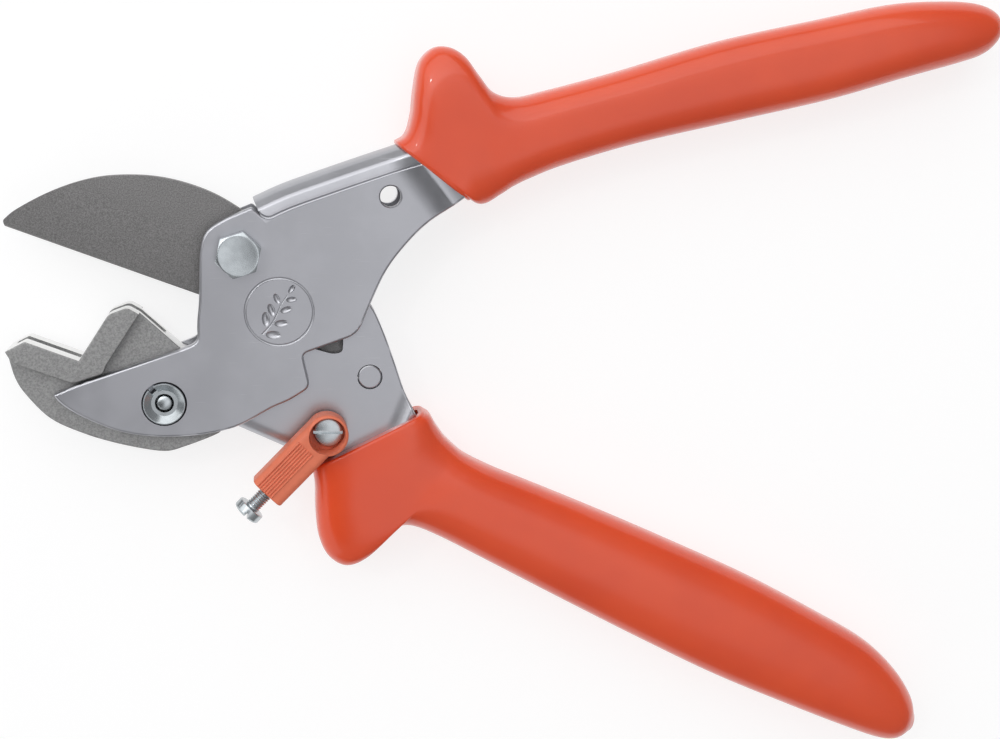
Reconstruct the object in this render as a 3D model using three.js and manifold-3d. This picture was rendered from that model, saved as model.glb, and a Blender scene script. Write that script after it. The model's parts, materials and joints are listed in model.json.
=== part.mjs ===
// Anvil pruner, standing open: two folded sheet-steel handles cross at one pivot, a straight blade on
// one closes into a slotted V anvil on the other. Millimetres; +Z is the axis of the pivot bolt, from
// its tail to its head, and +X runs from the jaws to the grips. The origin is the flat tail of the bolt.
import * as THREE from 'three';
import { mergeVertices } from 'three/addons/utils/BufferGeometryUtils.js';
import Module from 'manifold-3d';

const wasm = await Module();
wasm.setup();

// ---------------------------------------------------------------- driving dimensions
const GAP = 0.3;                  // running gap left between neighbouring pieces
const BLADE_HALF = 1.2;           // half the thickness of the blade
const LOWER_SHEET = 1.8;          // sheet of the blade handle
const LOWER_IN = BLADE_HALF + GAP;
const LOWER_OUT = LOWER_IN + LOWER_SHEET;
const UPPER_SHEET = 2.0;          // sheet of the anvil handle
const UPPER_IN = LOWER_OUT + GAP;
const UPPER_OUT = UPPER_IN + UPPER_SHEET;
const UPPER_BEND = 4.2;           // outside bend radius of the anvil handle's fold
const LOWER_BEND = 2.9;           // outside bend radius of the blade handle's fold
const CLOSING_DEG = 38;           // turn of the blade handle from open to shut
const GRIP_HALF = 7.4;            // half the thickness of a dipped grip
const FAR = 150;                  // past every edge of the tool

const BOLT_R = 2.5;               // M5 pivot bolt
const BOLT_AF = 8.0;
const HEAD_H = 3.5;
const NUT_H = 2.6;
const WASHER_H = 0.8;
const BUSH_R = 4.0;
const WASHER_R = 4.2;
const CHAMFER = 0.5;
const BOLT_TAIL = -(UPPER_OUT + GAP + WASHER_H + GAP + NUT_H + 0.4);

const LATCH_AT = [16.6, -35.6];   // pivot of the latch arm on the blade handle
const LATCH_DEG = 225;            // direction in which the stowed arm points
const ARM_LENGTH = 17.0;
const ARM_WIDTH = 7.6;
const ARM_Z = [4.4, 9.8];
const ARM_OFFSET = -0.5;          // the bar lies a little to one side of its pivot
const KNUCKLE_R = 4.3;
const LATCH_BORE_R = 2.3;
const HEAD_SEAT_Z = 5.2;          // floor of the knuckle's counterbore
const ADJUSTER_Z = 7.1;           // height of the adjusting screw's axis
const ADJUSTER_START = 6.8;       // its inner end, from the latch pivot
const ANVIL_BOLT_AT = [-15.1, -29.2];
const COUNTERSINK_R = 4.7;
const RIVET_AT = [25.2, -25.3];
const RIVET_R = 2.35;
const HANG_HOLE_AT = [29.6, 10.7];
const HANG_HOLE_R = 2.05;

const SPRING_LOW_AT = [16.7, -4.8];   // moving seat, on the blade handle's upper edge
const SPRING_LOW_DEG = 74;            // the way it faces when the pruner is open
const SPRING_HIGH_AT = [15.4, 10.5];  // fixed seat, under the anvil handle's fold
const SPRING_HIGH_DEG = -71.6;
const SPRING_COIL_R = 2.6;
const SPRING_WIRE_R = 0.4;
const SPRING_TURNS = 5;

const ROUND = 40;                 // facets of a small turned piece

// ---------------------------------------------------------------- solids
const radians = THREE.MathUtils.degToRad;
const polar = (r, degrees) => [r * Math.cos(radians(degrees)), r * Math.sin(radians(degrees))];

// A closed geometry becomes a solid once its shared corners are merged and slivers are dropped.
function solid(geometry) {
  const bare = geometry.clone();
  bare.deleteAttribute('normal');
  bare.deleteAttribute('uv');
  const merged = mergeVertices(bare, 1e-4);
  const index = merged.index.array;
  const faces = [];
  for (let i = 0; i < index.length; i += 3) {
    const [a, b, c] = [index[i], index[i + 1], index[i + 2]];
    if (a !== b && b !== c && c !== a) faces.push(a, b, c);
  }
  return new wasm.Manifold(new wasm.Mesh({
    numProp: 3,
    vertProperties: new Float32Array(merged.attributes.position.array),
    triVerts: new Uint32Array(faces),
  }));
}

function geometryOf(manifold) {
  const { vertProperties, triVerts } = manifold.getMesh();
  const geometry = new THREE.BufferGeometry();
  geometry.setAttribute('position', new THREE.BufferAttribute(vertProperties, 3));
  geometry.setIndex(new THREE.BufferAttribute(triVerts, 1));
  geometry.computeVertexNormals();
  return geometry;
}

const join = (first, ...others) => others.reduce((sum, other) => sum.add(other), first);
const cut = (first, ...others) => others.reduce((rest, other) => rest.subtract(other), first);

// An outline of corners [x, y] or [x, y, r]; a corner with r is rounded by a curve of about that radius.
function outline(corners) {
  const shape = new THREE.Shape();
  corners.forEach(([x, y, r = 0], i) => {
    const at = new THREE.Vector2(x, y);
    const before = corners[(i + corners.length - 1) % corners.length];
    const after = corners[(i + 1) % corners.length];
    const toBefore = new THREE.Vector2(before[0] - x, before[1] - y);
    const toAfter = new THREE.Vector2(after[0] - x, after[1] - y);
    const reach = Math.min(r, 0.48 * toBefore.length(), 0.48 * toAfter.length());
    const start = at.clone().addScaledVector(toBefore.normalize(), reach);
    const end = at.clone().addScaledVector(toAfter.normalize(), reach);
    if (i === 0) shape.moveTo(start.x, start.y);
    else shape.lineTo(start.x, start.y);
    if (reach > 0) shape.quadraticCurveTo(x, y, end.x, end.y);
  });
  shape.closePath();
  return shape;
}

function slab(shape, zLow, zHigh, curveSegments = 4) {
  const options = { depth: zHigh - zLow, bevelEnabled: false, curveSegments };
  return solid(new THREE.ExtrudeGeometry(shape, options).translate(0, 0, zLow));
}

const plate = (corners, zLow, zHigh) => slab(outline(corners), zLow, zHigh);

function disc(x, y, r, zLow, zHigh, sides = ROUND) {
  const geometry = new THREE.CylinderGeometry(r, r, zHigh - zLow, sides);
  return solid(geometry.rotateX(Math.PI / 2).translate(x, y, (zLow + zHigh) / 2));
}

// A turned piece about a line along Z through (x, y); the profile [r, z] rises from axis to axis.
function turned(x, y, profile, sides = ROUND) {
  const points = profile.map(([r, z]) => new THREE.Vector2(r, z));
  return solid(new THREE.LatheGeometry(points, sides).rotateX(Math.PI / 2).translate(x, y, 0));
}

function hexagon(x, y, acrossFlats, zLow, zHigh, turnDeg) {
  const r = acrossFlats / Math.sqrt(3);
  const geometry = new THREE.CylinderGeometry(r, r, zHigh - zLow, 6).rotateX(Math.PI / 2);
  return solid(geometry.rotateZ(radians(turnDeg)).translate(x, y, (zLow + zHigh) / 2));
}

function bar(x, y, length, width, zLow, zHigh, turnDeg) {
  const geometry = new THREE.BoxGeometry(length, width, zHigh - zLow);
  return solid(geometry.rotateZ(radians(turnDeg)).translate(x, y, (zLow + zHigh) / 2));
}

// Rings of points joined into one closed skin, with a flat fan at each end.
function skin(rings) {
  const count = rings[0].length;
  const corners = rings.flat();
  const faces = [];
  for (let i = 0; i + 1 < rings.length; i++) {
    for (let j = 0; j < count; j++) {
      const a = i * count + j;
      const b = i * count + (j + 1) % count;
      faces.push(a, b, b + count, a, b + count, a + count);
    }
  }
  const centre = (ring) => [0, 1, 2].map((k) => ring.reduce((sum, p) => sum + p[k], 0) / count);
  const first = corners.push(centre(rings[0])) - 1;
  const last = corners.push(centre(rings[rings.length - 1])) - 1;
  const tail = (rings.length - 1) * count;
  for (let j = 0; j < count; j++) {
    const next = (j + 1) % count;
    faces.push(first, next, j, last, tail + j, tail + next);
  }
  const geometry = new THREE.BufferGeometry();
  geometry.setAttribute('position', new THREE.Float32BufferAttribute(corners.flat(), 3));
  geometry.setIndex(faces);
  return solid(geometry);
}

// The bent edge of a folded sheet: a half-round-cornered section swept along the fold. inward is the
// side of the path on which the sheet lies, +1 left and -1 right; drop moves the section inwards.
function foldSweep(path, inward, half, bend, drop, depth) {
  const section = [];
  const steps = 5;
  for (const side of [1, -1]) {
    const corner = [];
    for (let k = 0; k <= steps; k++) {
      const turn = (k / steps) * Math.PI / 2;
      const across = half - bend + bend * Math.cos(turn);
      corner.push([drop + bend - bend * Math.sin(turn), side * across]);
    }
    corner.unshift([drop + depth, side * half]);
    section.push(...(side > 0 ? corner : corner.reverse()));
  }
  const rings = path.map(([x, y], i) => {
    const [ax, ay] = path[Math.max(i - 1, 0)];
    const [bx, by] = path[Math.min(i + 1, path.length - 1)];
    const along = new THREE.Vector2(bx - ax, by - ay).normalize();
    const inwards = new THREE.Vector2(-along.y * inward, along.x * inward);
    return section.map(([n, z]) => [x + inwards.x * n, y + inwards.y * n, z]);
  });
  return skin(inward > 0 ? rings : rings.map((ring) => [...ring].reverse()));
}

// The points of a path moved sideways by n towards the sheet, and back to front if asked.
function beside(path, inward, n) {
  return path.map(([x, y], i) => {
    const [ax, ay] = path[Math.max(i - 1, 0)];
    const [bx, by] = path[Math.min(i + 1, path.length - 1)];
    const length = Math.hypot(bx - ax, by - ay);
    return [x - (by - ay) / length * inward * n, y + (bx - ax) / length * inward * n];
  });
}

// ---------------------------------------------------------------- outlines of the two handles
// The outside line of each fold, from the jaws to the end of the tang inside the grip.
const UPPER_FOLD = [[3.0, 10.5], [8.6, 13.0], [16.1, 15.6], [23.6, 18.1], [31.1, 20.5], [42, 23.8],
  [50, 26.0], [61, 28.4], [75, 32.2], [95, 37.8], [115, 42.3], [135, 45.3]];
const LOWER_FOLD = [[-1.0, -35.1], [13.0, -41.9], [26, -48.3], [40, -55.6], [52, -62.4], [65, -69.8],
  [82, -79.3], [100, -88.9], [118, -97.3], [128, -101.6]];

const UPPER_TANG_INNER = [[135, 37.5], [124, 34.4], [108, 30.4], [92, 26.9], [76, 23.2], [64, 20.0],
  [55, 16.6], [48.5, 13.2]];
const LOWER_TANG_INNER = [[128, -90.5], [119, -84.6], [106, -77], [80, -64], [56, -52.6], [46, -48],
  [39.5, -42.5], [36.3, -36.5]];

// The cheek of the anvil handle: jaw tip, belly, latch notch, throat and the nose over the pivot.
const UPPER_CHEEK_EDGE = [[44.4, 10.5], [40.3, 7.8], [36.2, 4.9], [32.2, 0.9], [28.5, -4.0], [25.3, -10.6],
  [22.9, -16.3, 2.5], [11.9, -20.0, 1.2], [13.3, -26.7, 1.5], [9.3, -29.1, 3], [5.6, -30.4, 3],
  [-0.7, -34.0, 5], [-6.4, -35.4], [-12.5, -35.8], [-18.6, -35.6], [-24.5, -34.3], [-30.5, -31.6],
  [-34.3, -29.1], [-36.3, -26.9, 0.5], [-31.9, -25.0], [-11.5, -18.5], [-8.0, -17.2, 2], [-8.4, -13.8, 2],
  [-7.8, -8.9], [-7.2, 1.0, 3], [-5.8, 4.6], [-2.6, 6.7], [-0.2, 7.5], [2.7, 8.8, 0.4], [5.0, 7.4, 1.5]];
const LOWER_CHEEK_EDGE = [[34.1, -32.9], [32.1, -28.5], [30.5, -23.2], [28.1, -16.1], [25.8, -11.4, 3],
  [21.8, -7.5, 3], [9.5, -4.0, 3], [5.6, 3.4, 2]];

// ---------------------------------------------------------------- frames
const LAP = 2;                     // how far pieces that are joined or cut reach past each other
const LEAST_BEND = 0.8;
const pivotHole = (r, half) => disc(0, 0, r, -half, half);

// The folded sheet of a handle: bent edge and two cheeks, hollow between them.
function foldedSheet(fold, inward, half, bend, sheet, cheek, hollow) {
  const reach = bend + LAP;
  const body = join(foldSweep(fold, inward, half, bend, 0, reach), plate(cheek, -half, half));
  const inside = half - sheet;
  const insideBend = Math.max(bend - sheet, LEAST_BEND);
  const openEnded = fold.map(([x, y], i) => [x + (i === 0 ? -LAP : i === fold.length - 1 ? LAP : 0), y]);
  const hollowBend = foldSweep(openEnded, inward, inside, insideBend, sheet, reach + LAP);
  return cut(body, hollowBend, plate(hollow, -inside, inside));
}

function anvilHandleFrame() {
  const underBend = beside(UPPER_FOLD, -1, UPPER_BEND + 0.3);
  const cheek = [...UPPER_CHEEK_EDGE, ...underBend.slice(1), ...UPPER_TANG_INNER];
  const hollow = [[2.6, 30], ...beside(UPPER_FOLD, -1, UPPER_SHEET + UPPER_BEND).slice(0, -1), [FAR, 40],
    [FAR, -FAR], [-FAR, -FAR], [-FAR, 30]];
  const body = foldedSheet(UPPER_FOLD, -1, UPPER_OUT, UPPER_BEND, UPPER_SHEET, cheek, hollow);
  const front = countersink(1);
  const rear = countersink(-1);
  return cut(body, pivotHole(BOLT_R + GAP, 9), front, rear,
    disc(...HANG_HOLE_AT, HANG_HOLE_R, -9, 9), disc(...ANVIL_BOLT_AT, 3.0, -9, 9));
}

// The conical seat in one cheek for the anvil's fastener; side is +1 for the front, -1 for the rear.
function countersink(side) {
  const rising = side > 0
    ? [[0, 4.2], [3.0, 4.2], [COUNTERSINK_R, 5.9], [COUNTERSINK_R, 7], [0, 7]]
    : [[0, -7], [COUNTERSINK_R, -7], [COUNTERSINK_R, -5.9], [3.0, -4.2], [0, -4.2]];
  return turned(...ANVIL_BOLT_AT, rising);
}

function bladeHandleFrame() {
  const underBend = beside(LOWER_FOLD, 1, LOWER_BEND + 0.2);
  const boss = [];
  for (let degrees = 40; degrees <= 190; degrees += 15) boss.push(polar(6.6, degrees));
  const cheek = [...LOWER_CHEEK_EDGE, ...boss, [-3.2, -20], [-0.6, -33], ...underBend, ...LOWER_TANG_INNER];
  const hollow = [[-FAR, 30], [-FAR, -31], ...beside(LOWER_FOLD, 1, LOWER_SHEET + LOWER_BEND).slice(0, -1),
    [FAR, -95], [FAR, 30]];
  const body = foldedSheet(LOWER_FOLD, 1, LOWER_OUT, LOWER_BEND, LOWER_SHEET, cheek, hollow);
  const window = plate([[14.2, -15.2, 1], [20.2, -14.2, 1], [19.8, -20.3, 1], [17.6, -20.4, 1]], 0, 9);
  return cut(body, pivotHole(BUSH_R + GAP, 9), disc(...RIVET_AT, RIVET_R + GAP, -9, 9),
    disc(...LATCH_AT, LATCH_BORE_R, 0, 9), window);
}

// ---------------------------------------------------------------- blade
const BLADE_EDGE = [[-44.2, 5.4], [-8.1, -8.5]];
const [EDGE_TIP, EDGE_HEEL] = BLADE_EDGE;
const EDGE_LENGTH = Math.hypot(EDGE_HEEL[0] - EDGE_TIP[0], EDGE_HEEL[1] - EDGE_TIP[1]);
const EDGE_ANGLE = Math.atan2(EDGE_HEEL[1] - EDGE_TIP[1], EDGE_HEEL[0] - EDGE_TIP[0]);
// how far the line of the edge passes from the pivot
const EDGE_DROP = (EDGE_TIP[0] * EDGE_HEEL[1] - EDGE_TIP[1] * EDGE_HEEL[0]) / EDGE_LENGTH;
const EDGE_HALF = 0.15;
const BEVEL_WIDTH = 5.5;
const BLADE_BACK = [[0.6, 8.2], [-4.9, 11.5], [-11.2, 13.8], [-17.4, 14.9], [-24.5, 14.9], [-30.3, 13.8],
  [-36.1, 11.8], [-41.9, 8.8], [-44.6, 6.6, 0.5]];

function blade() {
  const tang = [[-5.6, -9.6, 3], [6, -16, 3], [19.5, -28.6, 3], [25.5, -30.6, 3], [30.0, -26.5, 3],
    [27.3, -18, 3], [23.0, -12.5, 3], [8.8, -9.0, 2], [7.4, -2, 4], [5.6, 4.2, 3]];
  const corners = [...BLADE_BACK, ...BLADE_EDGE, ...tang];
  const body = plate(corners, -BLADE_HALF, BLADE_HALF);
  return cut(body, bladeBevel(1), bladeBevel(-1), pivotHole(BUSH_R + GAP, 4),
    disc(...RIVET_AT, RIVET_R + GAP, -4, 4));
}

// The long wedge taken off one face, which thins the blade towards its straight edge.
function bladeBevel(side) {
  const section = new THREE.Shape();
  section.moveTo(-1, side * EDGE_HALF);
  section.lineTo(BEVEL_WIDTH, side * BLADE_HALF);
  section.lineTo(BEVEL_WIDTH, side * 3);
  section.lineTo(-1, side * 3);
  section.closePath();
  const geometry = new THREE.ExtrudeGeometry(section, { depth: EDGE_LENGTH + 5, bevelEnabled: false });
  // the section's x lies across the blade, its y along Z, and its depth along the edge
  const across = new THREE.Vector3(-Math.sin(EDGE_ANGLE), Math.cos(EDGE_ANGLE), 0);
  const upright = new THREE.Vector3(0, 0, 1);
  const lengthwise = new THREE.Vector3().crossVectors(across, upright);
  const place = new THREE.Matrix4().makeBasis(across, upright, lengthwise);
  const [x, y] = lengthwise.x > 0 ? BLADE_EDGE[0] : BLADE_EDGE[1];
  place.setPosition(x - lengthwise.x * 4, y - lengthwise.y * 4, 0);
  return solid(geometry.applyMatrix4(place));
}

// ---------------------------------------------------------------- anvil
const ANVIL_V = [[-44.8, -18.2], [-41.0, -16.3], [-31.0, -20.3], [-25.1, -11.4, 0.6], [-21.5, -10.1, 0.6],
  [-19.2, -11.5]];

const SLOT_CLEAR = 0.4;
const SLOT_END_R = 46.4;           // the blade's tip passes at 45.1 from the pivot
const SLOT_END_DEG = 203;
const SLOT_END_TURN = 7.9;

function anvil() {
  const belly = [[-4.2, -35.6, 1], [-7.0, -36.8], [-11.6, -38.4, 2], [-14.9, -39.2, 2], [-19.0, -38.7],
    [-25.1, -37.2], [-31.1, -35.1], [-37.1, -32.0], [-41.5, -27.2], [-43.5, -23.6]];
  const web = plate([...ANVIL_V, [-11.6, -18.7], [-8.6, -19.9], [-5.2, -20.2], [-3.4, -31.5], ...belly],
    -LOWER_OUT, LOWER_OUT);
  const band = plate([...ANVIL_V, [-26.0, -21.6], [-26.4, -22.9], [-32.4, -24.8], [-43.6, -20.4]],
    -UPPER_OUT, UPPER_OUT);
  return cut(join(web, band), bladeSlot(), disc(...ANVIL_BOLT_AT, 2.9, -9, 9));
}

// The slot that takes the closed blade: from just below its shut edge upwards, and just past its tip.
function bladeSlot() {
  const shut = Math.PI + EDGE_ANGLE + radians(CLOSING_DEG);
  const fromEdge = (n) => [-n * Math.sin(shut), n * Math.cos(shut)];
  const end = [];
  for (let t = 0; t <= 1.001; t += 0.25) end.push(polar(SLOT_END_R, SLOT_END_DEG + SLOT_END_TURN * t));
  const corners = [fromEdge(EDGE_DROP + SLOT_CLEAR), fromEdge(-20), polar(SLOT_END_R, 180), ...end];
  return plate(corners, -LOWER_IN, LOWER_IN);
}

// ---------------------------------------------------------------- pivot
const HEAD_TURN_DEG = -13.5;
const HEX_R = 4.9;                 // just outside the corners of the hexagons
const CROWN_R = HEX_R - 2 * CHAMFER;

function pivotBolt() {
  const top = UPPER_OUT + GAP + HEAD_H;
  const head = hexagon(0, 0, BOLT_AF, UPPER_OUT + GAP, top, HEAD_TURN_DEG);
  const crown = turned(0, 0, [[0, 0], [HEX_R, 0], [HEX_R, top - CHAMFER], [CROWN_R, top], [0, top]]);
  return join(head.intersect(crown), disc(0, 0, BOLT_R, BOLT_TAIL, UPPER_OUT + GAP + 0.5));
}

const pivotBush = () => cut(disc(0, 0, BUSH_R, -LOWER_OUT, LOWER_OUT), pivotHole(BOLT_R + GAP, 9));

const SPLIT = 0.7;                 // the gap in the spring washer

function pivotLockWasher() {
  const high = -UPPER_OUT - GAP;
  const ring = cut(disc(0, 0, WASHER_R, high - WASHER_H, high), pivotHole(BOLT_R + GAP, 9));
  return cut(ring, bar(WASHER_R, 0, WASHER_R, SPLIT, high - LAP, high + LAP, 35));
}

function pivotNut() {
  const high = -UPPER_OUT - GAP - WASHER_H - GAP;
  const low = high - NUT_H;
  const crown = turned(0, 0, [[0, low], [CROWN_R, low], [HEX_R, low + CHAMFER], [HEX_R, high], [0, high]]);
  return cut(hexagon(0, 0, BOLT_AF, low, high, 10).intersect(crown), pivotHole(BOLT_R + GAP, 12));
}

// ---------------------------------------------------------------- anvil fastener and rivet
const FLUSH_HEAD_R = 4.1;

function anvilSleeveNut() {
  const dish = [[FLUSH_HEAD_R, 5.75], [3.9, 6.0], [2.1, 5.3], [0, 5.3]];
  const profile = [[0, -2.5], [2.55, -2.5], [2.55, 4.3], ...dish];
  const body = turned(...ANVIL_BOLT_AT, profile);
  return cut(body, disc(...ANVIL_BOLT_AT, 1.8, -5, 9), bar(...ANVIL_BOLT_AT, 10, 1.2, 4.9, 9, 128));
}

function anvilScrew() {
  const body = turned(...ANVIL_BOLT_AT, [[0, -6.0], [FLUSH_HEAD_R, -6.0], [FLUSH_HEAD_R, -5.75], [2.4, -4.2],
    [1.5, -4.2], [1.5, 4.6], [1.2, 4.9], [0, 4.9]]);
  return cut(body, bar(...ANVIL_BOLT_AT, 10, 1.1, -9, -5.2, 40));
}

const bladeTangRivet = () => disc(...RIVET_AT, RIVET_R, -LOWER_OUT, LOWER_OUT);

// ---------------------------------------------------------------- spring
// The coil's axis leaves each seat square to it, so it bows a little while the pruner stands open.
function springAxis() {
  const away = (at, degrees, distance) => {
    const [x, y] = polar(distance, degrees);
    return new THREE.Vector3(at[0] + x, at[1] + y, 0);
  };
  const clear = SPRING_WIRE_R + GAP;
  return new THREE.CubicBezierCurve3(
    away(SPRING_LOW_AT, SPRING_LOW_DEG, clear), away(SPRING_LOW_AT, SPRING_LOW_DEG, 5),
    away(SPRING_HIGH_AT, SPRING_HIGH_DEG, 5), away(SPRING_HIGH_AT, SPRING_HIGH_DEG, clear));
}

class Coil extends THREE.Curve {
  constructor() {
    super();
    this.axis = springAxis();
  }

  getPoint(t, target = new THREE.Vector3()) {
    const turn = 2 * Math.PI * SPRING_TURNS * t;
    const along = this.axis.getTangent(t);
    const across = new THREE.Vector3(-along.y, along.x, 0);
    return target.copy(this.axis.getPoint(t))
      .addScaledVector(across, SPRING_COIL_R * Math.cos(turn))
      .add(new THREE.Vector3(0, 0, SPRING_COIL_R * Math.sin(turn)));
  }
}

function returnSpring() {
  const wire = new THREE.Shape();
  wire.absarc(0, 0, SPRING_WIRE_R, 0, 2 * Math.PI);
  return solid(new THREE.ExtrudeGeometry(wire, {
    extrudePath: new Coil(), steps: 14 * SPRING_TURNS, curveSegments: 3, bevelEnabled: false,
  }));
}

// A round seat with a short nose inside the coil and a tongue that fixes it. It faces as its nose points.
function springSeat([x, y], facingDeg, tongueDepth, tongueHalf) {
  const [fx, fy] = polar(1, facingDeg);
  const dish = new THREE.CylinderGeometry(3.2, 3.2, 1.0, ROUND / 2);
  const nose = new THREE.CylinderGeometry(1.4, 1.6, 1.5, ROUND / 2).translate(0, 0.95, 0);
  const tongue = new THREE.BoxGeometry(4.0, tongueDepth, 2 * tongueHalf).translate(0, -tongueDepth / 2, 0);
  const parts = [dish, nose, tongue].map((piece) => solid(
    piece.rotateZ(radians(facingDeg - 90)).translate(x - fx * 0.5, y - fy * 0.5, 0)));
  return join(...parts);
}

const springSeatLower = () => springSeat(SPRING_LOW_AT, SPRING_LOW_DEG, 3.0, BLADE_HALF);
const springSeatUpper = () => springSeat(SPRING_HIGH_AT, SPRING_HIGH_DEG, 1.5, 1.3);

// ---------------------------------------------------------------- grips
// Two rails give the silhouette of a grip, from its mouth to its end; each pair of points carries one
// rounded section, with its half thickness and how square it is.
const UPPER_RAILS = [
  [[31.0, 21.2], [46.2, 8.6], 6.9, 6], [[33.4, 22.3], [46.8, 8.4], 7.2, 5],
  [[34.7, 26.0], [47.3, 8.4], 7.2, 4], [[35.3, 31.0], [47.8, 8.6], 7.1, 4],
  [[36.2, 36.0], [48.2, 8.8], 7.0, 4], [[38.6, 38.9], [48.7, 9.0], 7.0, 4],
  [[41.6, 39.3], [49.4, 9.3], 7.0, 4], [[44.6, 37.6], [50.3, 9.8], 7.1, 4],
  [[47.2, 34.2], [51.6, 10.6], 7.2, 3.4], [[50.2, 30.7], [53.4, 11.7], 7.3, 3],
  [[54.7, 29.6], [57.4, 13.6], GRIP_HALF, 2.8], [[61, 30.9], [64.5, 16.3], GRIP_HALF, 2.8],
  [[75.3, 34.6], [79, 20.4], GRIP_HALF, 2.8], [[95.4, 40.4], [98.5, 24.6], GRIP_HALF, 2.8],
  [[115.7, 44.7], [118.5, 28.9], GRIP_HALF, 2.8], [[131, 47.8], [133.5, 33.0], GRIP_HALF, 2.6],
  [[142, 48.5], [145.0, 36.0], 7.0, 2.4], [[149, 48.1], [150.4, 37.7], 6.0, 2.2],
  [[153.0, 46.6], [153.3, 39.8], 4.4, 2], [[154.5, 44.4], [154.5, 42.2], 1.6, 2],
];
const LOWER_RAILS = [
  [[36.2, -33.0], [13.4, -43.7], 6.6, 6], [[37.4, -33.8], [13.9, -47.5], 7.0, 5],
  [[38.4, -35.6], [13.9, -52.5], 7.1, 4], [[39.3, -37.0], [14.4, -57.9], 7.0, 4],
  [[40.2, -38.3], [16.2, -62.1], 7.0, 4], [[41.2, -39.4], [19.4, -64.3], 7.0, 4],
  [[42.3, -40.5], [22.9, -63.4], 7.1, 4], [[43.6, -41.7], [26.2, -60.1], 7.2, 3.4],
  [[45.4, -42.9], [28.8, -57.2], 7.3, 3], [[48, -44.3], [32.5, -56.4], GRIP_HALF, 2.8],
  [[52, -46.2], [38.5, -58.9], GRIP_HALF, 2.6], [[60, -49.7], [50, -65.4], GRIP_HALF, 2.6],
  [[74, -56.0], [65, -74.0], GRIP_HALF, 2.6], [[89, -63.1], [81, -83.0], GRIP_HALF, 2.6],
  [[105, -71.0], [97, -91.6], GRIP_HALF, 2.6], [[120, -79.5], [113, -99.1], GRIP_HALF, 2.6],
  [[131, -86.3], [126, -104.9], 7.3, 2.5], [[137.6, -92.6], [134, -108.2], 6.6, 2.3],
  [[141.6, -98.6], [138.2, -109.0], 5.2, 2.1], [[143.1, -103.4], [141.6, -107.8], 2.4, 2],
];

function gripBody(rails) {
  const sides = 20;
  const squash = (value, square) => Math.sign(value) * Math.abs(value) ** (2 / square);
  const rings = rails.map(([[ax, ay], [bx, by], half, square]) => {
    const ring = [];
    for (let j = 0; j < sides; j++) {
      const turn = 2 * Math.PI * j / sides;
      const reach = squash(Math.cos(turn), square) / 2;
      ring.push([(ax + bx) / 2 + (ax - bx) * reach, (ay + by) / 2 + (ay - by) * reach,
        half * squash(Math.sin(turn), square)]);
    }
    return ring;
  });
  return skin(rings);
}

const POCKET_END = 1.5;            // room past the end of a tang

// The pocket a tang fills: its fold and cheeks, wider by the gap on every side.
function tangPocket(fold, inward, half, bend, innerEdge) {
  const wide = half + GAP;
  const line = beside(fold, inward, -GAP);
  const end = line[line.length - 1];
  const before = line[line.length - 2];
  const reach = Math.hypot(end[0] - before[0], end[1] - before[1]);
  end[0] += (end[0] - before[0]) / reach * POCKET_END;
  end[1] += (end[1] - before[1]) / reach * POCKET_END;
  const block = [...beside(line, inward, bend), ...innerEdge];
  return join(foldSweep(line, inward, wide, bend, 0, bend + 2), plate(block, -wide, wide));
}

function upperGrip() {
  const mouth = [[44.9, 9.9], [38, 5.5], [31, 12], [27, 14]];
  const inner = [[137, 37.1], [124, 34.0], [108, 30.0], [92, 26.5], [76, 22.8], [64, 19.6], [55, 16.2],
    [48.5, 12.7]];
  const pocket = tangPocket(UPPER_FOLD.slice(3), -1, UPPER_OUT, UPPER_BEND, [...inner, ...mouth]);
  return cut(gripBody(UPPER_RAILS), pocket);
}

function lowerGrip() {
  const inner = [[130.5, -90.6], [119, -84.1], [106, -76.5], [80, -63.5], [56, -52.1], [46, -47.5],
    [39.9, -42.3], [36.8, -36.4], [34.4, -32.6]];
  const mouth = [[30, -24], [6, -34]];
  const pocket = tangPocket(LOWER_FOLD, 1, LOWER_OUT, LOWER_BEND, [...inner, ...mouth]);
  return cut(gripBody(LOWER_RAILS), pocket);
}

// ---------------------------------------------------------------- latch
const [ARM_COS, ARM_SIN] = polar(1, LATCH_DEG);
const alongArm = (t, n) => [LATCH_AT[0] + t * ARM_COS - n * ARM_SIN, LATCH_AT[1] + t * ARM_SIN + n * ARM_COS];

const ADJUSTER_R = 1.5;            // M3
const BORE_LENGTH = 15;

function latchArm() {
  const left = ARM_OFFSET + ARM_WIDTH / 2;
  const right = ARM_OFFSET - ARM_WIDTH / 2;
  const end = [alongArm(ARM_LENGTH, left), alongArm(ARM_LENGTH, right)];
  const strip = plate([alongArm(0, left), ...end, alongArm(0, right)], ...ARM_Z);
  const body = join(strip, disc(...alongArm(0.4, ARM_OFFSET), KNUCKLE_R, ...ARM_Z));
  const bore = new THREE.CylinderGeometry(ADJUSTER_R + GAP, ADJUSTER_R + GAP, BORE_LENGTH, ROUND / 2);
  bore.rotateZ(Math.PI / 2 + radians(LATCH_DEG));
  bore.translate(...alongArm(ARM_LENGTH + 1.1 - BORE_LENGTH / 2, ARM_OFFSET), ADJUSTER_Z);
  const counterbore = disc(...LATCH_AT, 3.3, HEAD_SEAT_Z, 20);
  return cut(body, counterbore, disc(...LATCH_AT, LATCH_BORE_R, 0, 20), solid(bore));
}

function latchPivotScrew() {
  const seat = HEAD_SEAT_Z + GAP;
  const profile = [[0, -1.2], [2.0, -1.2], [2.0, seat], [2.9, seat], [2.9, 6.5], [2.5, 6.8], [0, 6.8]];
  return cut(turned(...LATCH_AT, profile), bar(...LATCH_AT, 8, 0.7, 6.2, 9, -2));
}

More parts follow.
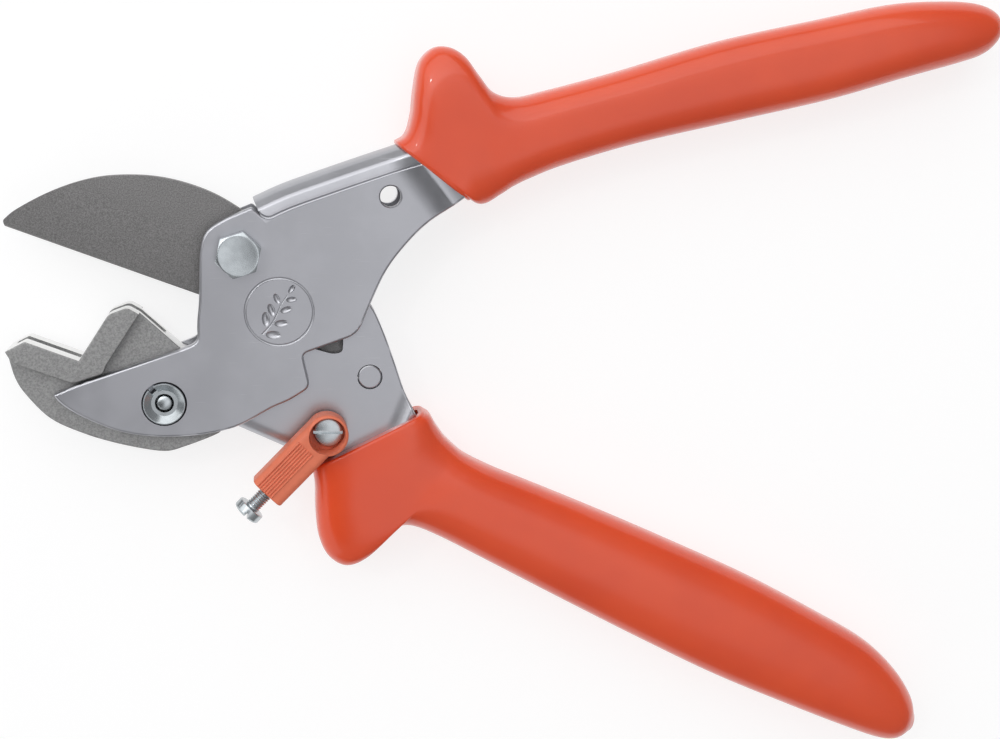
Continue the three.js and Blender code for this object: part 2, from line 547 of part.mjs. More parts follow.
const latchBore = () => disc(...LATCH_AT, LATCH_BORE_R, -9, 9);
const latchWasher = () => cut(disc(...LATCH_AT, 3.6, LOWER_OUT + GAP, ARM_Z[0] - GAP), latchBore());
const latchNut = () => cut(hexagon(...LATCH_AT, 7, -BLADE_HALF, BLADE_HALF, 24), latchBore());

function latchAdjustingScrew() {
  const head = [[2.6, 14.2], [2.9, 14.5], [2.9, 15.8], [2.6, 16.2]];
  const profile = [[0, 0], [ADJUSTER_R, 0], [ADJUSTER_R, 14.2], ...head, [0, 16.2]];
  const points = profile.map(([r, z]) => new THREE.Vector2(r, z));
  const turnedScrew = solid(new THREE.LatheGeometry(points, ROUND / 2));
  const slot = solid(new THREE.BoxGeometry(8, 2, 0.7).translate(0, 16.4, 0));
  const start = alongArm(ADJUSTER_START, ARM_OFFSET);
  return cut(turnedScrew, slot).rotate([0, 0, LATCH_DEG - 90]).translate([...start, ADJUSTER_Z]);
}

// ---------------------------------------------------------------- materials and assembly
function finish(color, roughness, metalness) {
  return new THREE.MeshStandardMaterial({ color, roughness, metalness });
}

const PLATED = () => finish(0xa8abb3, 0.32, 1);
const BRIGHT = () => finish(0xc6c9cc, 0.22, 1);
const BLADE_STEEL = () => finish(0x6e6d6b, 0.55, 1);
const CAST = () => finish(0x838382, 0.65, 0.9);
const DIPPED = () => finish(0xdc5532, 0.28, 0);
const MOULDED = () => finish(0xd96a48, 0.5, 0);
const SPRING_STEEL = () => finish(0x55575a, 0.4, 1);

const PIECES = [
  ['anvil_handle_frame', anvilHandleFrame, PLATED],
  ['blade_handle_frame', bladeHandleFrame, PLATED],
  ['blade', blade, BLADE_STEEL],
  ['anvil', anvil, CAST],
  ['pivot_bolt', pivotBolt, BRIGHT],
  ['pivot_bush', pivotBush, BRIGHT],
  ['pivot_lock_washer', pivotLockWasher, BRIGHT],
  ['pivot_nut', pivotNut, BRIGHT],
  ['anvil_sleeve_nut', anvilSleeveNut, BRIGHT],
  ['anvil_screw', anvilScrew, BRIGHT],
  ['blade_tang_rivet', bladeTangRivet, PLATED],
  ['return_spring', returnSpring, SPRING_STEEL],
  ['spring_seat_upper', springSeatUpper, SPRING_STEEL],
  ['spring_seat_lower', springSeatLower, SPRING_STEEL],
  ['upper_grip', upperGrip, DIPPED],
  ['lower_grip', lowerGrip, DIPPED],
  ['latch_arm', latchArm, MOULDED],
  ['latch_pivot_screw', latchPivotScrew, BRIGHT],
  ['latch_washer', latchWasher, BRIGHT],
  ['latch_nut', latchNut, BRIGHT],
  ['latch_adjusting_screw', latchAdjustingScrew, BRIGHT],
];

const pruner = new THREE.Group();
pruner.position.z = -BOLT_TAIL;
for (const [name, make, material] of PIECES) {
  const mesh = new THREE.Mesh(geometryOf(make()), material());
  mesh.name = name;
  pruner.add(mesh);
}

export default pruner;
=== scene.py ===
import json
import math

import bmesh
import bpy
import numpy as np
from mathutils import Matrix, Vector


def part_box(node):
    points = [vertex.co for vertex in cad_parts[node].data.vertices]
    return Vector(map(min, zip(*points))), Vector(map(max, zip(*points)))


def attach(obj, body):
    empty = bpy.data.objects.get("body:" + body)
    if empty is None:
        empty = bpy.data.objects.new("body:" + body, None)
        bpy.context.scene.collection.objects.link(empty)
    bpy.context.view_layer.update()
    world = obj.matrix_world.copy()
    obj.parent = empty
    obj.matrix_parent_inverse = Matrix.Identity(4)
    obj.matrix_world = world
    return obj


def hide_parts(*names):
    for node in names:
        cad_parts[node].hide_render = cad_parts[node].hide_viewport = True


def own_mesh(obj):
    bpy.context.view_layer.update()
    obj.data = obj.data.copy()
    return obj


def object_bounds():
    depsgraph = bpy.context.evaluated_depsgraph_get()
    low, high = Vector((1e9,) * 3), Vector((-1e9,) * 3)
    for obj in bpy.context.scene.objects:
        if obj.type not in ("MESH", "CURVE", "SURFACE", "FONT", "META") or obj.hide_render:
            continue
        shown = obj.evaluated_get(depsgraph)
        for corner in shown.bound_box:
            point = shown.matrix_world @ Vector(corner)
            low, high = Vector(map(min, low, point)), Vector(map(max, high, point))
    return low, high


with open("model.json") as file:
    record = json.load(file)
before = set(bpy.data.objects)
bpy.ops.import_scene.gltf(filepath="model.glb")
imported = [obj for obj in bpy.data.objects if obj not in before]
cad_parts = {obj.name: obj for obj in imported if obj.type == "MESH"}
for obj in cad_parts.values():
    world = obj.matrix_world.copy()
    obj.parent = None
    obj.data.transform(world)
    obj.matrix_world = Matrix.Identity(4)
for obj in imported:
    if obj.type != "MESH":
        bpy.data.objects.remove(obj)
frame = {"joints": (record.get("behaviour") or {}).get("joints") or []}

bl_info = {
    "name": "Anvil pruner finish",
    "version": (1, 0, 0),
    "blender": (4, 5, 0),
    "location": "View3D > Sidebar > Pruner",
    "description": "Finished pieces, materials and studio for an anvil pruner with two folded sheet handles",
    "category": "Object",
}

# The modelling functions below work in millimetres in the plane of the blade; place() turns their
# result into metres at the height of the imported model.
MM = 0.001
JOINTS = {joint["name"]: joint for joint in frame["joints"]}
LATCH = Vector(JOINTS["latch_swing"]["pos_m"])
CAD_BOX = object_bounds()
FRAME_LOW, FRAME_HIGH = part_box("anvil_handle_frame")
MID_HEIGHT = (FRAME_LOW.z + FRAME_HIGH.z) / 2
UPPER_OUT = (FRAME_HIGH.z - FRAME_LOW.z) / 2 / MM
LOWER_LOW, LOWER_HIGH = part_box("blade_handle_frame")
LOWER_OUT = (LOWER_HIGH.z - LOWER_LOW.z) / 2 / MM
BLADE_LOW, BLADE_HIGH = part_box("blade")
BLADE_HALF = (BLADE_HIGH.z - BLADE_LOW.z) / 2 / MM
GAP = 0.3
TINY = 1e-6
# plain cutters reach this far above and below the middle plane, past every outer face
CLEAR = 9.0
LATCH_X, LATCH_Y = LATCH.x / MM, LATCH.y / MM
TRAVEL = Vector(JOINTS["adjusting_screw_travel"]["axis"])
LATCH_DEG = math.degrees(math.atan2(TRAVEL.y, TRAVEL.x))
ADJUSTER_Z = (sum(corner.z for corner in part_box("latch_adjusting_screw")) / 2 - MID_HEIGHT) / MM
SEAT_Z = 5.2
BOLT_R, BOLT_AF, HEAD_TURN_DEG = 2.5, 8.0, 16.5
BUSH_R = 4.0
RIVET_R = 2.35


def height_mm(z):
    """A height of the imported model, in millimetres from the middle plane."""
    return (z - MID_HEIGHT) / MM


def centre_mm(node):
    """The middle of a CAD node, in millimetres in the middle plane."""
    low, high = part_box(node)
    return ((low.x + high.x) / 2 / MM, (low.y + high.y) / 2 / MM)


# ------------------------------------------------------------------ outlines
def spline(knots, steps):
    """A smooth curve through knots of any kind that adds and scales, which keeps its first and last."""
    ends = [2 * knots[0] - knots[1], *knots, 2 * knots[-1] - knots[-2]]
    curve = []
    for a, b, c, d in zip(ends, ends[1:], ends[2:], ends[3:]):
        for k in range(steps):
            t = k / steps
            curve.append(0.5 * (2 * b + (c - a) * t + (2 * a - 5 * b + 4 * c - d) * t * t
                                + (3 * b - a - 3 * c + d) * t * t * t))
    return curve + [knots[-1]]


def through(points, steps):
    """A smooth curve through a run of points; a run of two stays straight."""
    points = [Vector(p) for p in points]
    return points if len(points) == 2 else spline(points, steps)


def heading(path, index):
    """The way that a path runs at one of its points."""
    return (path[min(index + 1, len(path) - 1)] - path[max(index - 1, 0)]).normalized()


def trimmed(run, distance):
    """The run without its first stretch of that length."""
    run = list(run)
    while len(run) > 2 and (run[1] - run[0]).length <= distance:
        distance -= (run[1] - run[0]).length
        run.pop(0)
    step = run[1] - run[0]
    run[0] = run[0] + step * min(distance / max(step.length, TINY), 0.9)
    return run


def run_length(run):
    """How long a run of points is."""
    return sum((b - a).length for a, b in zip(run, run[1:]))


# the most of a run that the rounding of one of its corners may take up
NEAR_HALF = 0.48


def outline(corners, steps=6):
    """A closed outline: (x, y) is passed smoothly, (x, y, r) is a corner rounded over r on either side."""
    first = next(i for i, corner in enumerate(corners) if len(corner) == 3)
    corners = corners[first:] + corners[:first + 1]
    runs, current = [], [corners[0]]
    for corner in corners[1:]:
        current.append(corner)
        if len(corner) == 3:
            runs.append(current)
            current = [corner]
    curves = []
    for run in runs:
        curve = through([corner[:2] for corner in run], steps)
        most = NEAR_HALF * run_length(curve)
        curve = trimmed(curve, min(run[0][2], most))
        curves.append(list(reversed(trimmed(reversed(curve), min(run[-1][2], most)))))
    points = []
    for run, curve, after in zip(runs, curves, curves[1:] + curves[:1]):
        points.extend(curve)
        corner = Vector(run[-1][:2])
        pieces = 2 + int(run[-1][2] * 4) if run[-1][2] > 0 else 1
        for k in range(1, pieces):
            t = k / pieces
            points.append(curve[-1].lerp(corner, t).lerp(corner.lerp(after[0], t), t))
    return drop_close(points)


def drop_close(points, least=0.03):
    """The outline without points that all but repeat the one before."""
    kept = [points[0]]
    for point in points[1:]:
        if (point - kept[-1]).length > least:
            kept.append(point)
    if (kept[0] - kept[-1]).length <= least:
        kept.pop()
    return kept


def area(points):
    """The signed area of a closed outline, positive when it runs anticlockwise."""
    return sum(a.cross(b) for a, b in zip(points, points[1:] + points[:1])) / 2


def inset(points, distance, least_spread=0.35, passes=12):
    """The outline moved inwards by a small distance; a stretch that would turn back closes up."""
    sign = 1 if area(points) > 0 else -1
    moved = []
    for before, at, after in zip(points[-1:] + points[:-1], points, points[1:] + points[:1]):
        a, b = (at - before).normalized(), (after - at).normalized()
        normal = Vector((-a.y - b.y, a.x + b.x))
        normal = normal.normalized() if normal.length > TINY else Vector((-a.y, a.x))
        spread = max(least_spread, normal.dot(Vector((-b.y, b.x))))
        moved.append(at + normal * (sign * distance / spread))
    count = len(points)
    for _ in range(passes):
        for k in range(count):
            n = (k + 1) % count
            if (points[n] - points[k]).dot(moved[n] - moved[k]) < 0:
                moved[k] = (moved[k] + moved[n]) / 2
                moved[n] = moved[k].copy()
    return moved


def beside(path, side, distance):
    """A path moved sideways: side +1 is to its left and -1 to its right."""
    path = [Vector(p) for p in path]
    moved = []
    for index, point in enumerate(path):
        along = heading(path, index)
        moved.append(point + Vector((-along.y, along.x)) * side * distance)
    return moved


def circle(x, y, radius, count=64):
    """The points of a circle, anticlockwise."""
    turns = [2 * math.pi * k / count for k in range(count)]
    return [Vector((x + radius * math.cos(turn), y + radius * math.sin(turn))) for turn in turns]


# ------------------------------------------------------------------ solids in millimetres
def skin(rings, closed_loop=False):
    """A bmesh whose skin joins rings of points in order, with a face over each end or back to its start."""
    made = bmesh.new()
    loops = [[made.verts.new(p) for p in ring] for ring in rings]
    count = len(rings[0])
    for low, high in zip(loops, loops[1:] + loops[:1] if closed_loop else loops[1:]):
        for k in range(count):
            made.faces.new((low[k], low[(k + 1) % count], high[(k + 1) % count], high[k]))
    if not closed_loop:
        made.faces.new(list(reversed(loops[0])))
        made.faces.new(loops[-1])
    bmesh.ops.recalc_face_normals(made, faces=made.faces)
    return made


def rim(points, z, outward, radius, steps):
    """Rings from the flat face of a plate, round its rim, to its wall."""
    if radius <= 0:
        return [[(p.x, p.y, z) for p in points]]
    rings = []
    for k in range(steps + 1):
        turn = math.pi / 2 * k / steps
        drop = radius * (1 - math.cos(turn))
        row = inset(points, radius * (1 - math.sin(turn)))
        rings.append([(p.x, p.y, z - outward * drop) for p in row])
    return rings


def slab(points, low, high, edge=0.0, edge_low=None, steps=3):
    """A plate between two heights, its rims rounded by edge above and edge_low below."""
    below = rim(points, low, -1, edge if edge_low is None else edge_low, steps)
    above = rim(points, high, 1, edge, steps)
    return skin(below + above[::-1])


def turned(profile, x=0.0, y=0.0, count=64):
    """A turned solid about a vertical line; the profile (radius, z) rises from axis to axis."""
    made = bmesh.new()
    rings = []
    for radius, z in profile:
        level = [Vector((x, y))] if radius < TINY else circle(x, y, radius, count)
        rings.append([made.verts.new((p.x, p.y, z)) for p in level])
    for low, high in zip(rings, rings[1:]):
        for k in range(count):
            n = (k + 1) % count
            if len(low) == 1:
                made.faces.new((low[0], high[n], high[k]))
            elif len(high) == 1:
                made.faces.new((low[k], low[n], high[0]))
            else:
                made.faces.new((low[k], low[n], high[n], high[k]))
    bmesh.ops.recalc_face_normals(made, faces=made.faces)
    return made


def rod(points, radii, sides=16):
    """A round bar along a level route, as thick at each point as its radius says."""
    rings = []
    for index, (point, radius) in enumerate(zip(points, radii)):
        along = heading(points, index)
        across = Vector((-along.y, along.x, 0))
        rings.append([tuple(point + across * (radius * math.cos(2 * math.pi * k / sides))
                            + Vector((0, 0,
                                      radius * math.sin(2 * math.pi * k / sides)))) for k in range(sides)])
    return skin(rings)


def hoop(x, y, z, radius, thickness, count=120, sides=16):
    """A round ring of round wire, lying flat."""
    rings = []
    for k in range(count):
        turn = 2 * math.pi * k / count
        out = Vector((math.cos(turn), math.sin(turn), 0))
        rings.append([tuple(Vector((x, y, z)) + out * (radius + thickness * math.cos(2 * math.pi * j / sides))
                            + Vector((0, 0,
                                      thickness * math.sin(2 * math.pi * j / sides)))) for j in range(sides)])
    return skin(rings, closed_loop=True)


def flare(made, start, aim, reach, rise, bands=10, fade=1.0):
    """Swages both cheeks of a sheet outwards past a line square to aim, and back again under the grip."""
    start, aim = Vector((*start, 0)), Vector((*aim, 0)).normalized()
    for k in range(round(bands * (1 + fade)) + 1):
        at = start + aim * (reach * k / bands)
        geometry = made.verts[:] + made.edges[:] + made.faces[:]
        bmesh.ops.bisect_plane(made, geom=geometry, plane_co=at, plane_no=aim)
    for vert in made.verts:
        past = (vert.co - start).dot(aim) / reach
        if 0 < past < 1:
            vert.co.z += math.copysign(rise * past ** 2, vert.co.z)
        elif 1 <= past < 1 + fade:
            vert.co.z += math.copysign(rise * (0.5 + 0.5 * math.cos(math.pi * (past - 1) / fade)), vert.co.z)
    return made


def bore(radius, reach, x=0.0, y=0.0, count=72):
    """A plain round cutter, as far below the middle plane as above it."""
    return turned([(0, -reach), (radius, -reach), (radius, reach), (0, reach)], x, y, count)


def block(x, y, length, width, low, high, turn_deg=0.0):
    """A plain cutter bar, centred on (x, y) and turned about Z."""
    turn = Matrix.Rotation(math.radians(turn_deg), 2)
    corners = [Vector((x, y)) + turn @ Vector((sx * length / 2, sy * width / 2))
               for sx, sy in ((-1, -1), (1, -1), (1, 1), (-1, 1))]
    return slab(corners, low, high)


def round_fold(half, bend, drop, depth, steps=10):
    """Half the section of a plain fold, as (inward, height) from the flat cheek to the middle."""
    corner = [(drop + depth, half)]
    for k in range(steps + 1):
        turn = math.pi / 2 * k / steps
        corner.append((drop + bend - bend * math.sin(turn), half - bend + bend * math.cos(turn)))
    return corner


def coined_fold(half, depth):
    """Half the section of a fold pressed in a die: a slanted strip, a steeper one and a round back."""
    corners = [(depth, half, 0), (4.6, half, 0.8), (2.3, half - 0.32, 0.5), (0.45, half - 2.2, 0.8),
               (0.05, 1.2), (0, 0, 0)]
    closed = outline(corners + [(depth, 0, 0)], 5)
    start = min(range(len(closed)), key=lambda k: (closed[k] - Vector((depth, half))).length)
    ordered = closed[start:] + closed[:start]
    return [(p.x, p.y) for p in ordered if p.y > 1e-4]


def fold_sweep(path, side, half_section):
    """The bent edge of a folded sheet: a half section and its mirror image, swept along the fold."""
    section = half_section + [(n, -z) for n, z in reversed(half_section)]
    path = [Vector(p) for p in path]
    rings = []
    for index, point in enumerate(path):
        along = heading(path, index)
        inwards = Vector((-along.y, along.x)) * side
        rings.append([(*(point + inwards * n), z) for n, z in section])
    return skin(rings)


def boolean(base, tools, operation):
    """The bmesh base cut by, or joined with, each tool."""
    base_object = temporary(base)
    for tool in tools:
        tool_object = temporary(tool)
        modifier = base_object.modifiers.new("cut", "BOOLEAN")
        modifier.operation = operation
        modifier.solver = "EXACT"
        modifier.object = tool_object
        bpy.context.view_layer.update()
        graph = bpy.context.evaluated_depsgraph_get()
        result = bpy.data.meshes.new_from_object(base_object.evaluated_get(graph))
        base_object.modifiers.clear()
        old, base_object.data = base_object.data, result
        bpy.data.meshes.remove(old)
        discard(tool_object)
    made = bmesh.new()
    made.from_mesh(base_object.data)
    discard(base_object)
    return made


def temporary(made):
    """An object that holds a bmesh while a modifier works on it."""
    mesh = bpy.data.meshes.new("temporary")
    made.to_mesh(mesh)
    made.free()
    holder = bpy.data.objects.new("temporary", mesh)
    bpy.context.scene.collection.objects.link(holder)
    return holder


def discard(holder):
    """Removes such an object and its mesh."""
    mesh = holder.data
    bpy.data.objects.remove(holder)
    if mesh.users == 0:
        bpy.data.meshes.remove(mesh)


def join(base, *tools):
    """The bmesh base joined with each tool."""
    return boolean(base, tools, "UNION")


def cut(base, *tools):
    """The bmesh base less each tool."""
    return boolean(base, tools, "DIFFERENCE")


def common(base, *tools):
    """What the bmesh base shares with each tool."""
    return boolean(base, tools, "INTERSECT")


def together(*parts):
    """Separate closed shells in one bmesh."""
    made = bmesh.new()
    for part in parts:
        mesh = bpy.data.meshes.new("part")
        part.to_mesh(mesh)
        part.free()
        made.from_mesh(mesh)
        bpy.data.meshes.remove(mesh)
    return made


def transform(made, matrix):
    """The bmesh moved or turned by a matrix."""
    bmesh.ops.transform(made, matrix=matrix, verts=made.verts)
    return made


# ------------------------------------------------------------------ pieces
# points nearer to each other than this are merged
MERGE = 0.004


def place(name, made, body, slot_name, node, sharp_deg=30.0, tidy=True):
    """The finished piece: metres, in place, shaded, on its body and standing for its CAD node."""
    if tidy:
        bmesh.ops.remove_doubles(made, verts=made.verts, dist=MERGE)
        bmesh.ops.dissolve_degenerate(made, edges=made.edges, dist=MERGE / 2)
    transform(made, Matrix.Translation((0, 0, MID_HEIGHT)) @ Matrix.Scale(MM, 4))
    mesh = bpy.data.meshes.new(name)
    made.to_mesh(mesh)
    made.free()
    mesh.polygons.foreach_set("use_smooth", [True] * len(mesh.polygons))
    mesh.set_sharp_from_angle(angle=math.radians(sharp_deg))
    mesh.materials.append(material(slot_name))
    piece = bpy.data.objects.new(name, mesh)
    bpy.context.scene.collection.objects.link(piece)
    flatten = piece.modifiers.new("even shading", "WEIGHTED_NORMAL")
    flatten.keep_sharp = True
    flatten.weight = 100
    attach(piece, body)
    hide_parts(node)
    return piece


# ------------------------------------------------------------------ node maths
class Value:
    """An output socket of a node tree; arithmetic on it adds the Math nodes that it needs."""

    def __init__(self, graph, socket):
        self.graph, self.socket = graph, socket

    def math(self, operation, *operands):
        """A Math node on some operands."""
        inputs = {str(place): operand for place, operand in enumerate(operands)}
        return self.graph.node("ShaderNodeMath", {"operation": operation}, inputs)[0]

    def __add__(self, other):
        return self.math("ADD", self, other)

    def __radd__(self, other):
        return self.math("ADD", other, self)

    def __sub__(self, other):
        return self.math("SUBTRACT", self, other)

    def __rsub__(self, other):
        return self.math("SUBTRACT", other, self)

    def __mul__(self, other):
        return self.math("MULTIPLY", self, other)

    def __rmul__(self, other):
        return self.math("MULTIPLY", other, self)

    def sine(self):
        """Its sine, from radians."""
        return self.math("SINE", self)

    def cosine(self):
        """Its cosine, from radians."""
        return self.math("COSINE", self)

    def ramp(self, low, high):
        """0 below low, 1 above high and smooth between them."""
        limits = {"Value": self, "From Min": low, "From Max": high}
        return self.graph.node("ShaderNodeMapRange", {"interpolation_type": "SMOOTHSTEP"}, limits)[0]


def set_stops(ramp, stops):
    """Gives a colour ramp its stops, each a position and a colour."""
    while len(ramp.elements) < len(stops):
        ramp.elements.new(0.5)
    for element, (position, colour) in zip(ramp.elements, stops):
        element.position = position
        element.color = colour


class Outputs:
    """A node's outputs, by name or number, as values."""

    def __init__(self, graph, node):
        self.graph, self.node = graph, node

    def __getitem__(self, key):
        return Value(self.graph, self.node.outputs[key])


class Graph:
    """A node tree under construction."""

    def __init__(self, tree):
        self.tree = tree

    def node(self, kind, settings, values):
        """A node of a kind: its settings first, such as a ramp's stops, then its inputs' values or links."""
        node = self.tree.nodes.new(kind)
        for key, value in settings.items():
            if key == "stops":
                set_stops(node.color_ramp, value)
            else:
                setattr(node, key, value)
        for key, value in values.items():
            socket = node.inputs[int(key)] if key.isdigit() else node.inputs[key]
            if isinstance(value, Value):
                self.tree.links.new(value.socket, socket)
            else:
                socket.default_value = value
        return Outputs(self, node)

    def mix(self, factor, first, second):
        """Two colours, mixed by a factor."""
        inputs = {"0": factor, "6": colour4(first), "7": colour4(second)}
        return self.node("ShaderNodeMix", {"data_type": "RGBA"}, inputs)[2]


class Sheet(Graph):
    """A material under construction, with its shader and the piece's own coordinates."""

    def __init__(self, name, **constants):
        self.material = bpy.data.materials.new(name)
        self.material.use_nodes = True
        super().__init__(self.material.node_tree)
        self.shader = self.tree.nodes["Principled BSDF"]
        for socket, value in constants.items():
            self.shader.inputs[socket.replace("_", " ")].default_value = value
        self.here = self.node("ShaderNodeTexCoord", {}, {})["Object"]

    def noise(self, scale, detail=4.0, roughness=0.55, stretch=None, turn_deg=0.0):
        """Cloudy noise on the piece, stretched and turned where it runs in lines."""
        where = self.here
        if stretch:
            turn = (0.0, 0.0, math.radians(turn_deg))
            where = self.node("ShaderNodeMapping", {},
                              {"Vector": where, "Rotation": turn, "Scale": stretch})[0]
        settings = {"Vector": where, "Scale": scale, "Detail": detail, "Roughness": roughness}
        return self.node("ShaderNodeTexNoise", {}, settings)[0]

    def feed(self, **sockets):
        """Links values to the shader; a name's underscores stand for spaces."""
        for key, value in sockets.items():
            self.tree.links.new(value.socket, self.shader.inputs[key.replace("_", " ")])
        return self

    def bump(self, height, strength, distance):
        """A normal from a height; the distance is in metres."""
        inputs = {"Height": height, "Strength": strength, "Distance": distance}
        return self.node("ShaderNodeBump", {}, inputs)[0]


def colour4(value):
    """A colour with its alpha, or a socket as it is."""
    return value if isinstance(value, Value) else (*value[:3], 1.0)


def shade(colour, factor):
    """A colour made darker or lighter."""
    return [part * factor for part in colour]


class Grower(Graph):
    """A Geometry Nodes tree under construction, with named number inputs."""

    def __init__(self, name, inputs):
        super().__init__(bpy.data.node_groups.new(name, "GeometryNodeTree"))
        panel = self.tree.interface
        panel.new_socket("Geometry", in_out="INPUT", socket_type="NodeSocketGeometry")
        panel.new_socket("Geometry", in_out="OUTPUT", socket_type="NodeSocketGeometry")
        self.numbers = dict(inputs)
        for label, value in inputs.items():
            kind = "NodeSocketInt" if isinstance(value, int) else "NodeSocketFloat"
            panel.new_socket(label, in_out="INPUT", socket_type=kind).default_value = value
        self.given = self.node("NodeGroupInput", {}, {})

    def finish(self, geometry, material):
        """Ends the tree: real geometry with its material."""
        real = self.node("GeometryNodeRealizeInstances", {}, {"0": geometry})[0]
        coloured = self.node("GeometryNodeSetMaterial", {}, {"Geometry": real, "Material": material})[0]
        self.node("NodeGroupOutput", {}, {"0": coloured})

    def grow(self, base):
        """The tree's result on a base mesh, as a plain bmesh."""
        holder = bpy.data.objects.new("grown", base)
        bpy.context.scene.collection.objects.link(holder)
        modifier = holder.modifiers.new("grow", "NODES")
        modifier.node_group = self.tree
        for item in self.tree.interface.items_tree:
            if item.in_out == "INPUT" and item.name in self.numbers:
                modifier[item.identifier] = self.numbers[item.name]
        bpy.context.view_layer.update()
        graph = bpy.context.evaluated_depsgraph_get()
        result = bpy.data.meshes.new_from_object(holder.evaluated_get(graph))
        holder.modifiers.clear()
        discard(holder)
        made = bmesh.new()
        made.from_mesh(result)
        bpy.data.meshes.remove(result)
        bmesh.ops.recalc_face_normals(made, faces=made.faces)
        return made


def polyline(points):
    """A mesh of bare edges along a route."""
    mesh = bpy.data.meshes.new("route")
    mesh.from_pydata([tuple(p) for p in points], [(k, k + 1) for k in range(len(points) - 1)], [])
    return mesh


# ------------------------------------------------------------------ materials
def plated_sheet(finish):
    """Bright zinc on rolled sheet: cloudy sheen, faint rolling lines and a few hair scratches."""
    sheet = Sheet("plated_sheet", Metallic=1.0)
    cloud = sheet.noise(70.0, 3.0)
    grain = sheet.noise(5200.0, 2.0)
    rolled = sheet.noise(1.0, 4.0, 0.6, stretch=(260.0, 3600.0, 260.0), turn_deg=-18)
    scratch = sheet.noise(1.0, 2.0, 0.5, stretch=(120.0, 5200.0, 120.0), turn_deg=52)
    marks = scratch.ramp(0.69, 0.76)
    tone = cloud.ramp(0.35, 0.68)
    base = sheet.mix(tone, shade(finish.plate_colour, 0.90), finish.plate_colour)
    base = sheet.mix(marks * 0.25, base, (0.85, 0.86, 0.88))
    sheet.feed(Base_Color=base, Roughness=0.27 + tone * 0.07 + grain * 0.05 + marks * 0.1)
    height = grain * 0.35 + rolled * 0.65 - marks * 0.8
    return sheet.feed(Normal=sheet.bump(height, 0.10, 0.00008)).material


def blade_steel(finish):
    """Matt blasted tool steel with a fine salt-and-pepper grain."""
    sheet = Sheet("blade_steel", Metallic=1.0)
    grain = sheet.noise(4200.0, 3.0, 0.7)
    cloud = sheet.noise(120.0, 3.0)
    base = sheet.mix(grain.ramp(0.32, 0.68), shade(finish.blade_colour, 0.78),
                     shade(finish.blade_colour, 1.38))
    sheet.feed(Base_Color=base, Roughness=0.46 + cloud * 0.12 + grain * 0.08)
    return sheet.feed(Normal=sheet.bump(grain, 0.35, 0.00006)).material


def cast_anvil(finish):
    """A grey casting with a tumbled, grainy skin."""
    sheet = Sheet("anvil_casting", Metallic=1.0)
    grain = sheet.noise(2600.0, 4.0, 0.75)
    lumps = sheet.noise(420.0, 3.0)
    base = sheet.mix(grain.ramp(0.30, 0.70), shade(finish.anvil_colour, 0.78),
                     shade(finish.anvil_colour, 1.25))
    # painted highlight: the walls flagged for facing +Y are mixed to near white and made less rough
    painted_highlight_mask = sheet.node("ShaderNodeAttribute", {"attribute_name": "machined"}, {})["Fac"]
    base = sheet.mix(painted_highlight_mask, base, (0.86, 0.86, 0.85))
    sheet.feed(Base_Color=base, Roughness=0.52 + lumps * 0.15 - painted_highlight_mask * 0.22)
    return sheet.feed(Normal=sheet.bump(grain * 0.6 + lumps * 0.6, 0.4, 0.0001)).material


def bright_zinc(finish):
    """Small zinc-plated fasteners, brighter and a little uneven."""
    sheet = Sheet("zinc_fastener", Metallic=1.0)
    cloud = sheet.noise(420.0, 3.0)
    grain = sheet.noise(5200.0, 2.0)
    base = sheet.mix(cloud.ramp(0.3, 0.7), finish.zinc_colour, shade(finish.zinc_colour, 0.86))
    sheet.feed(Base_Color=base, Roughness=0.20 + cloud * 0.12)
    return sheet.feed(Normal=sheet.bump(grain * 0.4 + cloud, 0.12, 0.0001)).material


def spring_steel(finish):
    """Dark oiled wire and stampings."""
    sheet = Sheet("spring_steel", Metallic=1.0)
    cloud = sheet.noise(900.0, 3.0)
    base = sheet.mix(cloud, (0.10, 0.10, 0.105), (0.19, 0.185, 0.18))
    sheet.feed(Base_Color=base, Roughness=0.3 + cloud * 0.2)
    return sheet.feed(Normal=sheet.bump(cloud, 0.1, 0.00005)).material


def dipped_vinyl(finish):
    """Glossy dip-coated vinyl: even colour, slow ripples and a clear skin."""
    sheet = Sheet("dipped_vinyl", Metallic=0.0, Coat_Weight=0.5, Coat_Roughness=0.06, Specular_IOR_Level=0.5,
                  Subsurface_Weight=0.08, Subsurface_Scale=0.002)
    slow = sheet.noise(55.0, 2.0)
    ripple = sheet.noise(160.0, 2.0)
    fine = sheet.noise(2500.0, 2.0)
    colour = finish.grip_colour
    base = sheet.mix(slow.ramp(0.3, 0.7), [colour[0] * 0.93, colour[1] * 0.86, colour[2] * 0.86], colour)
    sheet.feed(Base_Color=base, Roughness=0.30 + fine * 0.06)
    return sheet.feed(Normal=sheet.bump(ripple + fine * 0.05, 0.10, 0.0006)).material


def moulded_latch(finish):
    """Satin moulded plastic, lighter where it is rubbed."""
    sheet = Sheet("moulded_latch", Metallic=0.0, Specular_IOR_Level=0.45)
    cloud = sheet.noise(300.0, 3.0)
    fine = sheet.noise(5000.0, 2.0)
    colour = finish.latch_colour
    base = sheet.mix(cloud.ramp(0.3, 0.7), shade(colour, 0.9), colour)
    sheet.feed(Base_Color=base, Roughness=0.42 + fine * 0.1)
    return sheet.feed(Normal=sheet.bump(fine, 0.15, 0.00005)).material


MATERIALS = {}


def material(name):
    """Each material is made once, the first time that a piece asks for it."""
    makers = {"plated_sheet": plated_sheet, "blade_steel": blade_steel, "anvil_casting": cast_anvil,
              "zinc_fastener": bright_zinc, "spring_steel": spring_steel, "dipped_vinyl": dipped_vinyl,
              "moulded_latch": moulded_latch}
    if name not in MATERIALS:
        MATERIALS[name] = makers[name](bpy.context.scene.pruner_finish)
    return MATERIALS[name]


